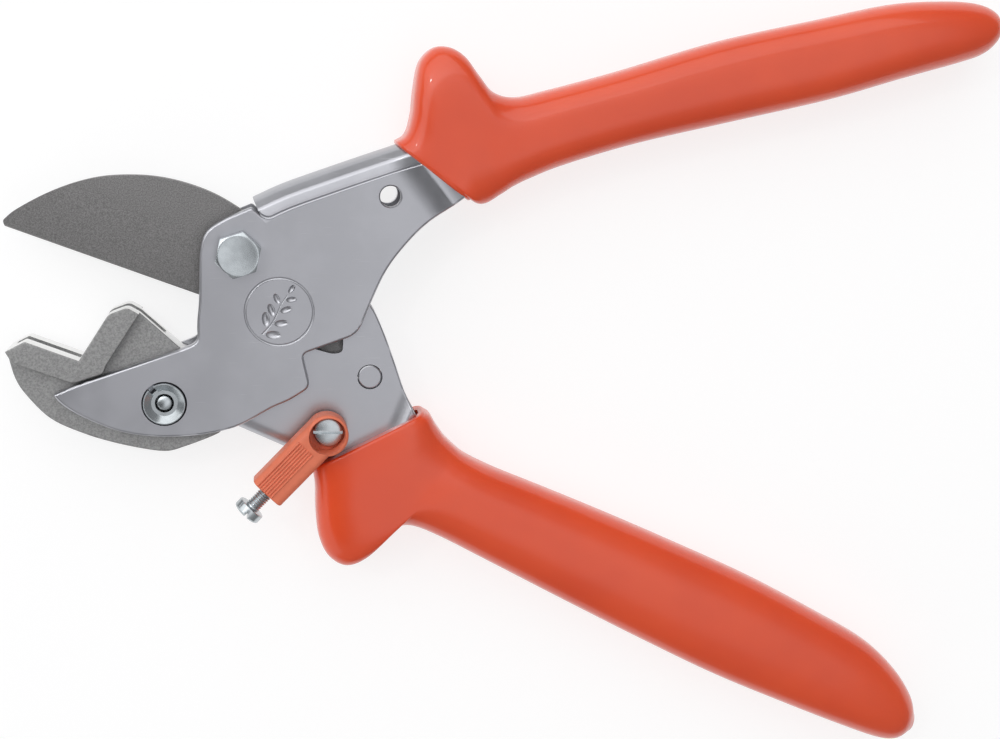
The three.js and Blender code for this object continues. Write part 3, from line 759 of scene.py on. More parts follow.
# ------------------------------------------------------------------ shapes of the two handles
UPPER_FOLD = [(3.0, 10.5), (8.6, 13.0), (16.1, 15.6), (23.6, 18.1), (31.1, 20.5), (42, 23.8), (50, 26.0),
              (61, 28.4), (75, 32.2), (95, 37.8), (115, 42.3), (135, 45.3)]
LOWER_FOLD = [(-1.0, -35.1), (13.0, -41.9), (26, -48.3), (40, -55.6), (52, -62.4), (65, -69.8), (82, -79.3),
              (100, -88.9), (118, -97.3), (128, -101.6)]
UPPER_TANG_INNER = [(135, 37.5, 0), (124, 34.4), (108, 30.4), (92, 26.9), (76, 23.2), (64, 20.0),
                    (55, 16.6), (48.5, 13.2)]
LOWER_TANG_INNER = [(128, -90.5, 0), (119, -84.6), (106, -77), (80, -64), (56, -52.6), (46, -48),
                    (39.5, -42.5), (36.3, -36.5)]
UPPER_CHEEK = [(44.4, 10.5), (40.3, 7.8), (36.2, 4.9), (32.2, 0.9), (28.5, -4.0), (25.3, -10.6),
               (22.9, -16.3, 2.5), (11.9, -20.0, 1.2), (13.3, -26.7, 1.5), (9.3, -29.1), (5.6, -30.7),
               (-0.7, -34.0), (-6.4, -35.4), (-12.5, -35.9), (-18.6, -35.6), (-24.5, -34.3), (-30.5, -31.6),
               (-34.3, -29.1), (-36.3, -26.9, 0.6), (-31.9, -25.1, 3), (-11.5, -18.5, 0.5),
               (-8.2, -17.2, 1.6), (-8.4, -13.8, 3), (-7.8, -8.9), (-7.3, 0.5), (-5.9, 4.4), (-2.7, 6.6),
               (0.1, 7.85), (2.8, 8.95, 0.4), (6.0, 6.0, 1.0)]
# the coined strip is this deep and takes up the first points of the fold; the plain bend starts inside it
STRIP_DEPTH = 8.0
STRIP_END, PLAIN_START = 7, 5
BOSS_R = 6.6
LOWER_CHEEK = [(34.1, -32.9), (32.1, -28.5), (30.4, -23.2), (28.1, -16.4), (25.6, -11.0), (21.8, -7.6, 1.5),
               (9.5, -4.0, 2.0), (5.6, 3.4, 2.0)]


def countersink(x, y, side):
    """The conical seat in one cheek, from its bore to the outer face and past it."""
    bore_r, mouth_r, bottom, face, past = 3.0, 4.7, 4.2, 5.9, 7.0
    rising = [(0, bottom), (bore_r, bottom), (mouth_r, face), (mouth_r, past), (0, past)]
    return turned(rising if side > 0 else [(r, -z) for r, z in reversed(rising)], x, y)


def eased_hole(x, y, radius, surface, ease=0.25):
    """A cutter for a round hole whose rims are eased where it leaves the two outer faces."""
    rising = [(0, -CLEAR), (radius + ease, -CLEAR), (radius + ease, -surface), (radius, -surface + ease)]
    return turned(rising + [(r, -z) for r, z in reversed(rising)], x, y)


def folded_sheet(outer, inner, side, half, inside, cheek, hollow, edge):
    """The folded sheet of a handle: its folds and cheeks, less the space between them."""
    folds = [fold_sweep(through(path, 3), side, section) for path, section in outer]
    body = join(slab(cheek, -half, half, edge), *folds)
    line = through(inner[0], 3)
    overrun = 2.0
    before = line[0] - (line[1] - line[0]).normalized() * overrun
    after = line[-1] + (line[-1] - line[-2]).normalized() * overrun
    return cut(body, fold_sweep([before, *line, after], side, inner[1]), slab(hollow, -inside, inside))


EMBLEM_AT = Vector((7.6, -11.5))
EMBLEM_R = 6.6
STEM = [(-3.4, -4.4), (-1.7, -2.6), (-0.5, -0.6), (0.4, 1.4), (1.7, 3.3)]


def sprig_tree(material_used):
    """Sets leaves to the left and right of the base route by turns, with one at its end."""
    tree = Grower("leaf_sprig", {"Leaves": 8, "Leaf Length": 3.3, "Leaf Width": 1.75, "Spread": 0.86})
    stem = tree.node("GeometryNodeMeshToCurve", {}, {"Mesh": tree.given["Geometry"]})[0]
    points = tree.node("GeometryNodeCurveToPoints", {"mode": "COUNT"},
                       {"Curve": stem, "Count": tree.given["Leaves"]})
    ball = tree.node("GeometryNodeMeshUVSphere", {}, {"Segments": 20, "Rings": 12, "Radius": 1.0})[0]
    length, width = tree.given["Leaf Length"], tree.given["Leaf Width"]
    size = tree.node("ShaderNodeCombineXYZ", {}, {"X": length * 0.5, "Y": width * 0.5, "Z": 0.6})[0]
    place_at = tree.node("ShaderNodeCombineXYZ", {}, {"X": length * 0.5 + 0.42})[0]
    leaf = tree.node("GeometryNodeTransform", {},
                     {"Geometry": ball, "Translation": place_at, "Scale": size})[0]
    way = tree.node("ShaderNodeSeparateXYZ", {}, {"0": points["Tangent"]})
    index = tree.node("GeometryNodeInputIndex", {}, {})[0]
    last = index.math("COMPARE", index, tree.given["Leaves"] - 1, 0.5)
    side = (index.math("MODULO", index, 2.0) * 2 - 1) * (1 - last)
    turn = way["Y"].math("ARCTAN2", way["Y"], way["X"]) + side * tree.given["Spread"]
    rotation = tree.node("ShaderNodeCombineXYZ", {}, {"Z": turn})[0]
    shrink = 1.05 - index * 0.055
    scale = tree.node("ShaderNodeCombineXYZ", {}, {"X": shrink, "Y": shrink, "Z": 1.0})[0]
    leaves = tree.node("GeometryNodeInstanceOnPoints", {},
                       {"Points": points["Points"], "Instance": leaf, "Rotation": rotation,
                        "Scale": scale})[0]
    tree.finish(leaves, material_used)
    return tree


def pressed_emblem(material_used):
    """Cutters for the shallow mark in the front cheek: a leaf sprig in a ring."""
    ring = hoop(*EMBLEM_AT, UPPER_OUT + 0.2, EMBLEM_R, 0.34)
    line = [Vector((*(EMBLEM_AT + p), UPPER_OUT + 0.16)) for p in through(STEM, 6)]
    stem = rod(line, [0.30 - 0.1 * k / len(line) for k in range(len(line))], 12)
    leaves = sprig_tree(material_used).grow(polyline(line))
    return ring, stem, transform(leaves, Matrix.Translation((0, 0, 0.12)))


def fold_crease(side):
    """The coined line where the cheek runs into the fold, round the fold's first corner."""
    width, corner = 4.7, 2.0
    line = through(UPPER_FOLD, 3)
    along = (line[1] - line[0]).normalized()
    inwards = Vector((along.y, -along.x))
    route = []
    for k in range(-1, 7):
        turn = math.pi / 2 * k / 7
        ahead = corner - corner * math.cos(turn)
        deep = width - corner + corner * math.sin(turn)
        route.append(line[0] + along * ahead + inwards * deep)
    route += [p for p in beside(line, -1, width) if corner + 3 < p.x < 52]
    points = [Vector((*p, side * (UPPER_OUT + 0.14))) for p in route]
    return rod(points, [0.46 - 0.16 * min(k / 20, 1) for k in range(len(points))])


class PRUNER_OT_anvil_handle(bpy.types.Operator):
    """Makes the folded sheet of the anvil handle, with its latch notch and holes."""
    bl_idname = "pruner.anvil_handle"
    bl_label = "Anvil handle sheet"

    def execute(self, context):
        sizes = context.scene.pruner_sheet
        bend = sizes.upper_bend
        deep, shallow = (beside(UPPER_FOLD, -1, depth) for depth in (STRIP_DEPTH - 0.9, bend + 0.3))
        under = [(*p,) for p in deep[1:PLAIN_START + 1] + shallow[STRIP_END - 1:]]
        under[-1] = (*under[-1], 0)
        cheek = outline(UPPER_CHEEK + under + UPPER_TANG_INNER)
        inside = UPPER_OUT - sizes.upper_sheet
        inner = beside(UPPER_FOLD, -1, sizes.upper_sheet + bend)[:-1]
        beyond = [Vector(p) for p in ((150, 40), (150, -60), (-60, -60), (-60, 30))]
        hollow = [Vector((-6.2, 30)), *inner, *beyond]
        outer = [(UPPER_FOLD[:STRIP_END], coined_fold(UPPER_OUT, STRIP_DEPTH)),
                 (UPPER_FOLD[PLAIN_START:], round_fold(UPPER_OUT, bend, 0, bend + 2))]
        inner_bend = round_fold(inside, bend - sizes.upper_sheet, sizes.upper_sheet, bend + 4)
        body = folded_sheet(outer, (UPPER_FOLD, inner_bend), -1, UPPER_OUT, inside, cheek, hollow,
                            sizes.edge_round)
        fastener = centre_mm("anvil_screw")
        hang = (29.6, 10.7)
        body = cut(body, bore(2.8, CLEAR, count=64), countersink(*fastener, 1),
                   countersink(*fastener, -1), bore(3, CLEAR, *fastener), eased_hole(*hang, 2.05, UPPER_OUT),
                   fold_crease(1), fold_crease(-1), *pressed_emblem(material("plated_sheet")))
        flare(body, (34.6, 9.2), (0.80, 0.60), 5.5, 1.15)
        place("anvil_handle_sheet", body, "anvil_handle", "plated_sheet", "anvil_handle_frame")
        return {"FINISHED"}


class PRUNER_OT_blade_handle(bpy.types.Operator):
    """Makes the folded sheet of the blade handle."""
    bl_idname = "pruner.blade_handle"
    bl_label = "Blade handle sheet"

    def execute(self, context):
        sizes = context.scene.pruner_sheet
        bend = sizes.lower_bend
        turns = [math.radians(degrees) for degrees in range(40, 191, 15)]
        boss = [(BOSS_R * math.cos(turn), BOSS_R * math.sin(turn)) for turn in turns]
        under = [(*p,) for p in beside(LOWER_FOLD, 1, bend + 0.2)]
        under[0], under[-1] = (*under[0], 0), (*under[-1], 0)
        cheek = outline(LOWER_CHEEK + boss + [(-3.2, -20), (-0.6, -33, 0)] + under + LOWER_TANG_INNER)
        inner = beside(LOWER_FOLD, 1, sizes.lower_sheet + bend)[:-1]
        hollow = [Vector((-40, 30)), Vector((-40, -31)), *inner, Vector((150, -95)), Vector((150, 30))]
        inside = LOWER_OUT - sizes.lower_sheet
        outer = [(LOWER_FOLD, round_fold(LOWER_OUT, bend, 0, bend + 2))]
        inner_bend = round_fold(inside, bend - sizes.lower_sheet, sizes.lower_sheet, bend + 4)
        body = folded_sheet(outer, (LOWER_FOLD, inner_bend), 1, LOWER_OUT, inside, cheek, hollow,
                            sizes.edge_round * 0.8)
        opening = [(13.0, -19.0, 0.4), (20.2, -14.2, 1), (19.9, -20.2, 0.9), (17.9, -20.5, 0.8)]
        window = slab(outline(opening), 0, CLEAR)
        rivet = centre_mm("blade_tang_rivet")
        front_hole = turned([(0, 0), (2.3, 0), (2.3, CLEAR), (0, CLEAR)], LATCH_X, LATCH_Y)
        body = cut(body, bore(4.3, CLEAR, count=64), bore(2.5, CLEAR, *rivet, count=64), front_hole, window)
        flare(body, (29.8, -31.4), (0.92, -0.40), 3.6, 0.9)
        place("blade_handle_sheet", body, "blade_handle", "plated_sheet", "blade_handle_frame")
        return {"FINISHED"}


# ------------------------------------------------------------------ blade
EDGE_TIP, EDGE_HEEL = Vector((-44.3, 5.45)), Vector((-8.1, -8.5))
EDGE_LENGTH = (EDGE_HEEL - EDGE_TIP).length
GRIND_HALF, GRIND_WIDTH = 0.45, 15.0
BEVEL_HALF, BEVEL_WIDTH = 0.04, 0.8
BLADE_BACK = [(0.6, 8.2), (-4.9, 11.5), (-11.2, 13.8), (-17.4, 14.9), (-24.5, 14.9), (-30.3, 13.8),
              (-36.1, 11.7), (-41.9, 8.7), (-44.6, 6.6, 0.5)]
BLADE_TANG = [(-5.6, -9.6, 3), (6, -16, 3), (19.5, -28.6, 3), (25.5, -30.6, 3), (30.0, -26.5, 3),
              (27.3, -18, 3), (23.0, -12.5, 3), (8.8, -9.0, 2), (7.4, -2, 4), (5.6, 4.2, 3)]


def hollow_grind(side, edge_half, width, depth_power=2.0, steps=8):
    """A cutter that thins one face of the blade from its full half thickness to edge_half at the edge."""
    along = (EDGE_HEEL - EDGE_TIP).normalized()
    across = Vector((-along.y, along.x))
    section = [(-2.0, side * edge_half * 0.3)]
    for k in range(steps + 1):
        n = k / steps
        section.append((n * width, side * (BLADE_HALF - (BLADE_HALF - edge_half) * (1 - n) ** depth_power)))
    section += [(width + 0.01, side * 3.0), (-2.0, side * 3.0)]
    rings = []
    for reach in (-8.0, EDGE_LENGTH + 5.0):
        base = EDGE_TIP + along * reach
        rings.append([(*(base + across * n), z) for n, z in section])
    return skin(rings)


class PRUNER_OT_blade(bpy.types.Operator):
    """Makes the blade: curved back, hollow-ground faces and a fine bevel along the straight edge."""
    bl_idname = "pruner.blade"
    bl_label = "Blade"

    def execute(self, context):
        corners = BLADE_BACK + [(*EDGE_TIP, 0), (*EDGE_HEEL, 0)] + BLADE_TANG
        body = slab(outline(corners, 8), -BLADE_HALF, BLADE_HALF, 0.12)
        rivet = centre_mm("blade_tang_rivet")
        body = cut(body, *[hollow_grind(side, GRIND_HALF, GRIND_WIDTH) for side in (1, -1)])
        body = cut(body, *[hollow_grind(side, BEVEL_HALF, BEVEL_WIDTH, 1.0, 1) for side in (1, -1)])
        body = cut(body, bore(BUSH_R + GAP, 3), bore(RIVET_R + GAP, 4, *rivet))
        place("pruner_blade", body, "blade_handle", "blade_steel", "blade", 12)
        return {"FINISHED"}


# ------------------------------------------------------------------ anvil
ANVIL_V = [(-44.8, -18.2, 0.25), (-41.0, -16.3, 0.3), (-31.0, -20.3, 0.15), (-25.1, -11.4, 0.8),
           (-21.5, -10.1, 0.8), (-19.2, -11.5, 0.3)]
ANVIL_TAIL = [(-11.6, -18.7, 0.5), (-8.6, -19.9, 1), (-5.2, -20.2, 0.5), (-3.4, -31.5, 0.5), (-4.2, -35.6, 1),
              (-7.0, -36.8), (-11.6, -38.4), (-14.9, -39.2), (-19.0, -38.7), (-25.1, -37.2), (-31.1, -35.1),
              (-37.1, -32.0), (-41.5, -27.2), (-43.5, -23.6)]
ANVIL_BAND = [(-26.0, -21.6, 0.6), (-26.4, -22.9, 0.6), (-32.4, -24.8, 0.6), (-43.6, -20.4, 0.6)]
SLOT_HALF = 1.5
SLOT_END_R = 46.4


def mark_machined(piece):
    """Flags the walls of the V, its nose and its heel that face +Y, above y = -22 mm, for a painted highlight
    in the casting's material.
    """
    mesh = piece.data
    flags = [float(abs(face.normal.z) < 0.3 and face.normal.y > 0.25 and face.center.y / MM > -22.0)
             for face in mesh.polygons]
    mesh.attributes.new("machined", "FLOAT", "FACE").data.foreach_set("value", flags)


class PRUNER_OT_anvil(bpy.types.Operator):
    """Makes the V anvil with its blade slot and its recessed flanks."""
    bl_idname = "pruner.anvil"
    bl_label = "Anvil"

    def blade_slot(self):
        """The way of the closed blade: above its shut edge and inside the sweep of its tip."""
        edge_angle = math.atan2(EDGE_HEEL.y - EDGE_TIP.y, EDGE_HEEL.x - EDGE_TIP.x)
        shut = math.pi + edge_angle + math.radians(JOINTS["handle_pivot"]["range_deg"][1])
        down = Vector((-math.sin(shut), math.cos(shut)))
        drop = EDGE_TIP.cross(EDGE_HEEL) / EDGE_LENGTH + 0.4
        turns = [math.radians(degrees) for degrees in range(180, 212, 3)]
        end = [Vector((SLOT_END_R * math.cos(turn), SLOT_END_R * math.sin(turn))) for turn in turns]
        return slab([down * drop, down * -20.0, *end], -SLOT_HALF, SLOT_HALF)

    def execute(self, context):
        web = slab(outline(ANVIL_V + ANVIL_TAIL), -LOWER_OUT, LOWER_OUT, 0.35)
        band = slab(outline(ANVIL_V + ANVIL_BAND), -UPPER_OUT, UPPER_OUT, 0.3)
        body = cut(join(web, band), self.blade_slot(), bore(2.9, CLEAR, *centre_mm("anvil_screw")))
        piece = place("pruner_anvil", body, "anvil_handle", "anvil_casting", "anvil")
        # the walls facing +Y get a painted highlight, near white
        mark_machined(piece)
        return {"FINISHED"}


# ------------------------------------------------------------------ fasteners
def hex_bar(width, low, high, turn_deg, x=0.0, y=0.0):
    """A six-sided bar of a width across flats."""
    corner = width / math.sqrt(3)
    points = [Vector((x + corner * math.cos(math.radians(turn_deg + 60 * k)),
                      y + corner * math.sin(math.radians(turn_deg + 60 * k)))) for k in range(6)]
    return slab(points, low, high)


def eased_disc(radius, low, high, ease):
    """A turned disc whose two rims are eased."""
    return turned([(0, low), (radius - ease, low), (radius, low + ease), (radius, high - ease),
                   (radius - ease, high), (0, high)])


def chamfered(radius, low, high, top_r, bottom_r, slope=0.55, x=0.0, y=0.0):
    """The turned envelope that breaks a hexagon's corners above and below."""
    return turned([(0, low), (bottom_r, low), (radius, low + (radius - bottom_r) * slope),
                   (radius, high - (radius - top_r) * slope), (top_r, high), (0, high)], x, y, 96)


def thread_rings(radius, low, high, pitch=0.7, depth=0.32, sides=28, per_turn=14):
    """Rings of points up a threaded rod, which winds up one pitch a turn and fades out at both ends."""
    rings = []
    count = int((high - low) / pitch * per_turn)
    for level in range(count + 1):
        z = low + (high - low) * level / count
        fade = min(1.0, (z - low) / pitch, (high - z) / pitch)
        ring = []
        for k in range(sides):
            turn = k / sides
            phase = (z / pitch - turn) % 1.0
            r = radius - depth * max(fade, 0.0) * (1 - abs(2 * phase - 1)) ** 1.2
            ring.append((r * math.cos(2 * math.pi * turn), r * math.sin(2 * math.pi * turn), z))
        rings.append(ring)
    return rings


def disc_ring(radius, z, sides=28):
    """A level ring of points about the axis."""
    return [(p.x, p.y, z) for p in circle(0, 0, radius, sides)]


class PRUNER_OT_pivot(bpy.types.Operator):
    """Makes the pivot: hexagon bolt, bush, split washer and nut."""
    bl_idname = "pruner.pivot"
    bl_label = "Pivot bolt, bush, washer and nut"

    def execute(self, context):
        low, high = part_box("pivot_bolt")
        head_low, top, tail = UPPER_OUT + GAP, height_mm(high.z), height_mm(low.z)
        corner_r, dish_r, dish_depth = 4.9, 3.75, 0.16
        envelope = chamfered(corner_r, head_low, top, 3.95, corner_r)
        head = common(hex_bar(BOLT_AF, head_low, top, HEAD_TURN_DEG), envelope)
        hollow = [(dish_r * k / 8, top - dish_depth * (1 - (k / 8) ** 2)) for k in range(9)]
        dish = turned(hollow + [(dish_r, top + 1), (0, top + 1)], count=96)
        shank = skin([disc_ring(2.1, tail)] + thread_rings(BOLT_R, tail + 0.25, -5.0, 0.8)
                     + [disc_ring(BOLT_R, -4.9), disc_ring(BOLT_R, head_low + 0.5)])
        place("hexagon_pivot_bolt", join(cut(head, dish), shank), "anvil_handle", "zinc_fastener",
              "pivot_bolt")

        nut_low, nut_high = (height_mm(corner.z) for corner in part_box("pivot_nut"))
        envelope = chamfered(corner_r, nut_low, nut_high, 4.2, 3.75)
        nut = common(hex_bar(BOLT_AF, nut_low, nut_high, 40), envelope)
        funnel = turned([(0, nut_low - 1), (3.1, nut_low - 1), (3.1, nut_low), (BOLT_R + GAP, nut_low + 0.35),
                         (BOLT_R + GAP, nut_high + 1), (0, nut_high + 1)])
        place("hexagon_pivot_nut", cut(nut, funnel), "anvil_handle", "zinc_fastener", "pivot_nut")

        low_z, high_z = (height_mm(corner.z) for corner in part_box("pivot_lock_washer"))
        ring = eased_disc(4.2, low_z, high_z, 0.1)
        ring = cut(ring, bore(BOLT_R + GAP, 12), block(4.2, 0, 5, 0.6, low_z - 1, high_z + 1, 35))
        place("split_lock_washer", ring, "anvil_handle", "zinc_fastener", "pivot_lock_washer")

        bush = cut(eased_disc(BUSH_R, -LOWER_OUT, LOWER_OUT, 0.2), bore(BOLT_R + GAP, CLEAR))
        place("plain_pivot_bush", bush, "anvil_handle", "zinc_fastener", "pivot_bush")
        return {"FINISHED"}


class PRUNER_OT_anvil_fastener(bpy.types.Operator):
    """Makes the flush sleeve nut and the screw that hold the anvil between the cheeks."""
    bl_idname = "pruner.anvil_fastener"
    bl_label = "Anvil sleeve nut and screw"

    def execute(self, context):
        x, y = centre_mm("anvil_screw")
        sleeve = [(0, -2.5), (2.45, -2.5), (2.55, -2.4), (2.55, 4.3)]
        flush_head = [(4.05, 5.72), (4.1, 5.85), (4.0, 6.0), (3.85, 6.0)]
        dish = [(3.7, 5.9), (2.7, 4.95), (2.55, 4.85), (0, 4.85)]
        nut = turned(sleeve + flush_head + dish, x, y, 96)
        nut = cut(nut, bore(1.85, CLEAR, x, y), block(x - 2.2, y + 2.8, 5.6, 1.25, 4.6, CLEAR, 128))
        place("anvil_flush_nut", nut, "anvil_handle", "zinc_fastener", "anvil_sleeve_nut")
        flush_head = [(0, -6.0), (3.9, -6.0), (4.1, -5.9), (4.1, -5.75), (2.4, -4.2)]
        shank = [(1.5, -4.2), (1.5, 4.6), (1.35, 4.85), (1.0, 5.0), (0, 5.05)]
        screw = turned(flush_head + shank, x, y, 64)
        screw = cut(screw, block(x, y, 10, 1.1, -CLEAR, -5.2, 40))
        place("anvil_flush_screw", screw, "anvil_handle", "zinc_fastener", "anvil_screw")
        return {"FINISHED"}


class PRUNER_OT_tang_rivet(bpy.types.Operator):
    """Makes the flush rivet that fixes the blade's tang."""
    bl_idname = "pruner.tang_rivet"
    bl_label = "Blade tang rivet"

    def execute(self, context):
        x, y = centre_mm("blade_tang_rivet")
        half = LOWER_OUT
        body = turned([(0, -half), (RIVET_R - 0.25, -half), (RIVET_R, 0.18 - half), (RIVET_R, half - 0.18),
                       (RIVET_R - 0.25, half), (0, half)], x, y, 72)
        place("flush_tang_rivet", body, "blade_handle", "plated_sheet", "blade_tang_rivet")
        return {"FINISHED"}


# ------------------------------------------------------------------ spring
SPRING_TURNS = 5
ROUTE_STEPS = 32
SPRING_LOW, SPRING_LOW_DEG = Vector((16.7, -4.8)), 74.0
SPRING_HIGH, SPRING_HIGH_DEG = Vector((15.4, 10.5)), -71.6


def away(at, turn_deg, distance):
    """The point at a distance from another, in the direction of an angle."""
    turn = math.radians(turn_deg)
    return at + Vector((math.cos(turn), math.sin(turn))) * distance


def coil_tree(material_used):
    """Winds a round wire about the base route; the route lies flat and the coil is as wide as it is high."""
    sizes = {"Turns": SPRING_TURNS, "Coil Radius": 2.6, "Wire Radius": 0.4, "Steps": 40 * SPRING_TURNS}
    tree = Grower("spring_coil", sizes)
    route = tree.node("GeometryNodeMeshToCurve", {}, {"Mesh": tree.given["Geometry"]})[0]
    evenly = {"Curve": route, "Count": tree.given["Steps"]}
    route = tree.node("GeometryNodeResampleCurve", {"mode": "COUNT"}, evenly)[0]
    along = tree.node("GeometryNodeInputTangent", {}, {})[0]
    up = (0.0, 0.0, 1.0)
    across = tree.node("ShaderNodeVectorMath", {"operation": "CROSS_PRODUCT"}, {"0": along, "1": up})[0]
    factor = tree.node("GeometryNodeSplineParameter", {}, {})["Factor"]
    turn = factor * tree.given["Turns"] * (2 * math.pi)
    radius = tree.given["Coil Radius"]
    scaled = {"operation": "SCALE"}
    sideways = tree.node("ShaderNodeVectorMath", scaled, {"0": across, "Scale": turn.cosine() * radius})[0]
    upwards = tree.node("ShaderNodeVectorMath", scaled, {"0": up, "Scale": turn.sine() * radius})[0]
    offset = tree.node("ShaderNodeVectorMath", {"operation": "ADD"}, {"0": sideways, "1": upwards})[0]
    wound = tree.node("GeometryNodeSetPosition", {}, {"Geometry": route, "Offset": offset})[0]
    wire = tree.node("GeometryNodeCurvePrimitiveCircle", {"mode": "RADIUS"},
                     {"Resolution": 14, "Radius": tree.given["Wire Radius"]})[0]
    solid = tree.node("GeometryNodeCurveToMesh", {},
                      {"Curve": wound, "Profile Curve": wire, "Fill Caps": True})[0]
    tree.finish(solid, material_used)
    return tree


class PRUNER_OT_spring(bpy.types.Operator):
    """Makes the return spring between the handles and its two seats."""
    bl_idname = "pruner.spring"
    bl_label = "Return spring and seats"

    def seat(self, at, turn_deg, tongue, tongue_half):
        """A pressed cup with a nose inside the coil and a tongue into the sheet."""
        flange = [(0, -1), (3.1, -1), (3.2, -0.9), (3.2, -0.1), (3.1, 0)]
        nose = [(1.75, 0), (1.5, 0.15), (1.4, 1.0), (1.2, 1.2), (0, 1.2)]
        cup = turned(flange + nose, count=48)
        tab = block(0, 0, 4.0, 2 * tongue_half, -0.9 - tongue, -0.5)
        body = join(cup, tab)
        transform(body, Matrix.Rotation(math.radians(90), 4, "Y"))
        return transform(body, Matrix.Translation((*at, 0)) @ Matrix.Rotation(math.radians(turn_deg), 4, "Z")
                         @ Matrix.Rotation(math.radians(90), 4, "X"))

    def execute(self, context):
        steel = material("spring_steel")
        a, b = away(SPRING_LOW, SPRING_LOW_DEG, 0.7), away(SPRING_LOW, SPRING_LOW_DEG, 5)
        c, d = away(SPRING_HIGH, SPRING_HIGH_DEG, 5), away(SPRING_HIGH, SPRING_HIGH_DEG, 0.7)
        route = []
        for k in range(ROUTE_STEPS + 1):
            t = k / ROUTE_STEPS
            p = a.lerp(b, t).lerp(b.lerp(c, t), t).lerp(b.lerp(c, t).lerp(c.lerp(d, t), t), t)
            route.append((p.x, p.y, 0.0))
        spring = place("return_coil", coil_tree(steel).grow(polyline(route)), "anvil_handle",
                       "spring_steel", "return_spring", 60, tidy=False)
        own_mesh(spring)
        place("moving_spring_seat", self.seat(SPRING_LOW, SPRING_LOW_DEG, 2.4, BLADE_HALF), "blade_handle",
              "spring_steel", "spring_seat_lower")
        place("fixed_spring_seat", self.seat(SPRING_HIGH, SPRING_HIGH_DEG, 0.9, 1.3), "anvil_handle",
              "spring_steel", "spring_seat_upper")
        return {"FINISHED"}


# ------------------------------------------------------------------ latch
ARM_LENGTH, ARM_WIDTH, ARM_OFFSET = 17.0, 7.3, -0.5
KNUCKLE_R = 4.15
ALONG_ARM = Matrix.Translation((0, ARM_OFFSET, ADJUSTER_Z)) @ Matrix.Rotation(math.radians(90), 4, "Y")


def in_arm(made):
    """A solid made along +X from the latch pivot, turned to where the stowed arm points."""
    turn = Matrix.Rotation(math.radians(LATCH_DEG), 4, "Z")
    return transform(made, Matrix.Translation((LATCH_X, LATCH_Y, 0)) @ turn)


def rib_tree(material_used):
    """Lays a row of round ribs, side by side, along +X from the base point."""
    tree = Grower("latch_ribs", {"Count": 7, "Pitch": 0.6, "Length": 11.7, "Rib Radius": 0.24})
    step = tree.node("ShaderNodeCombineXYZ", {}, {"Y": tree.given["Pitch"]})[0]
    row = tree.node("GeometryNodeMeshLine", {"mode": "OFFSET"},
                    {"Count": tree.given["Count"], "Offset": step})[0]
    end = tree.node("ShaderNodeCombineXYZ", {}, {"X": tree.given["Length"]})[0]
    spine = tree.node("GeometryNodeCurvePrimitiveLine", {"mode": "POINTS"}, {"End": end})[0]
    section = tree.node("GeometryNodeCurvePrimitiveCircle", {"mode": "RADIUS"},
                        {"Resolution": 12, "Radius": tree.given["Rib Radius"]})[0]
    rib = tree.node("GeometryNodeCurveToMesh", {},
                    {"Curve": spine, "Profile Curve": section, "Fill Caps": True})[0]
    ribs = tree.node("GeometryNodeInstanceOnPoints", {}, {"Points": row, "Instance": rib})[0]
    tree.finish(ribs, material_used)
    return tree


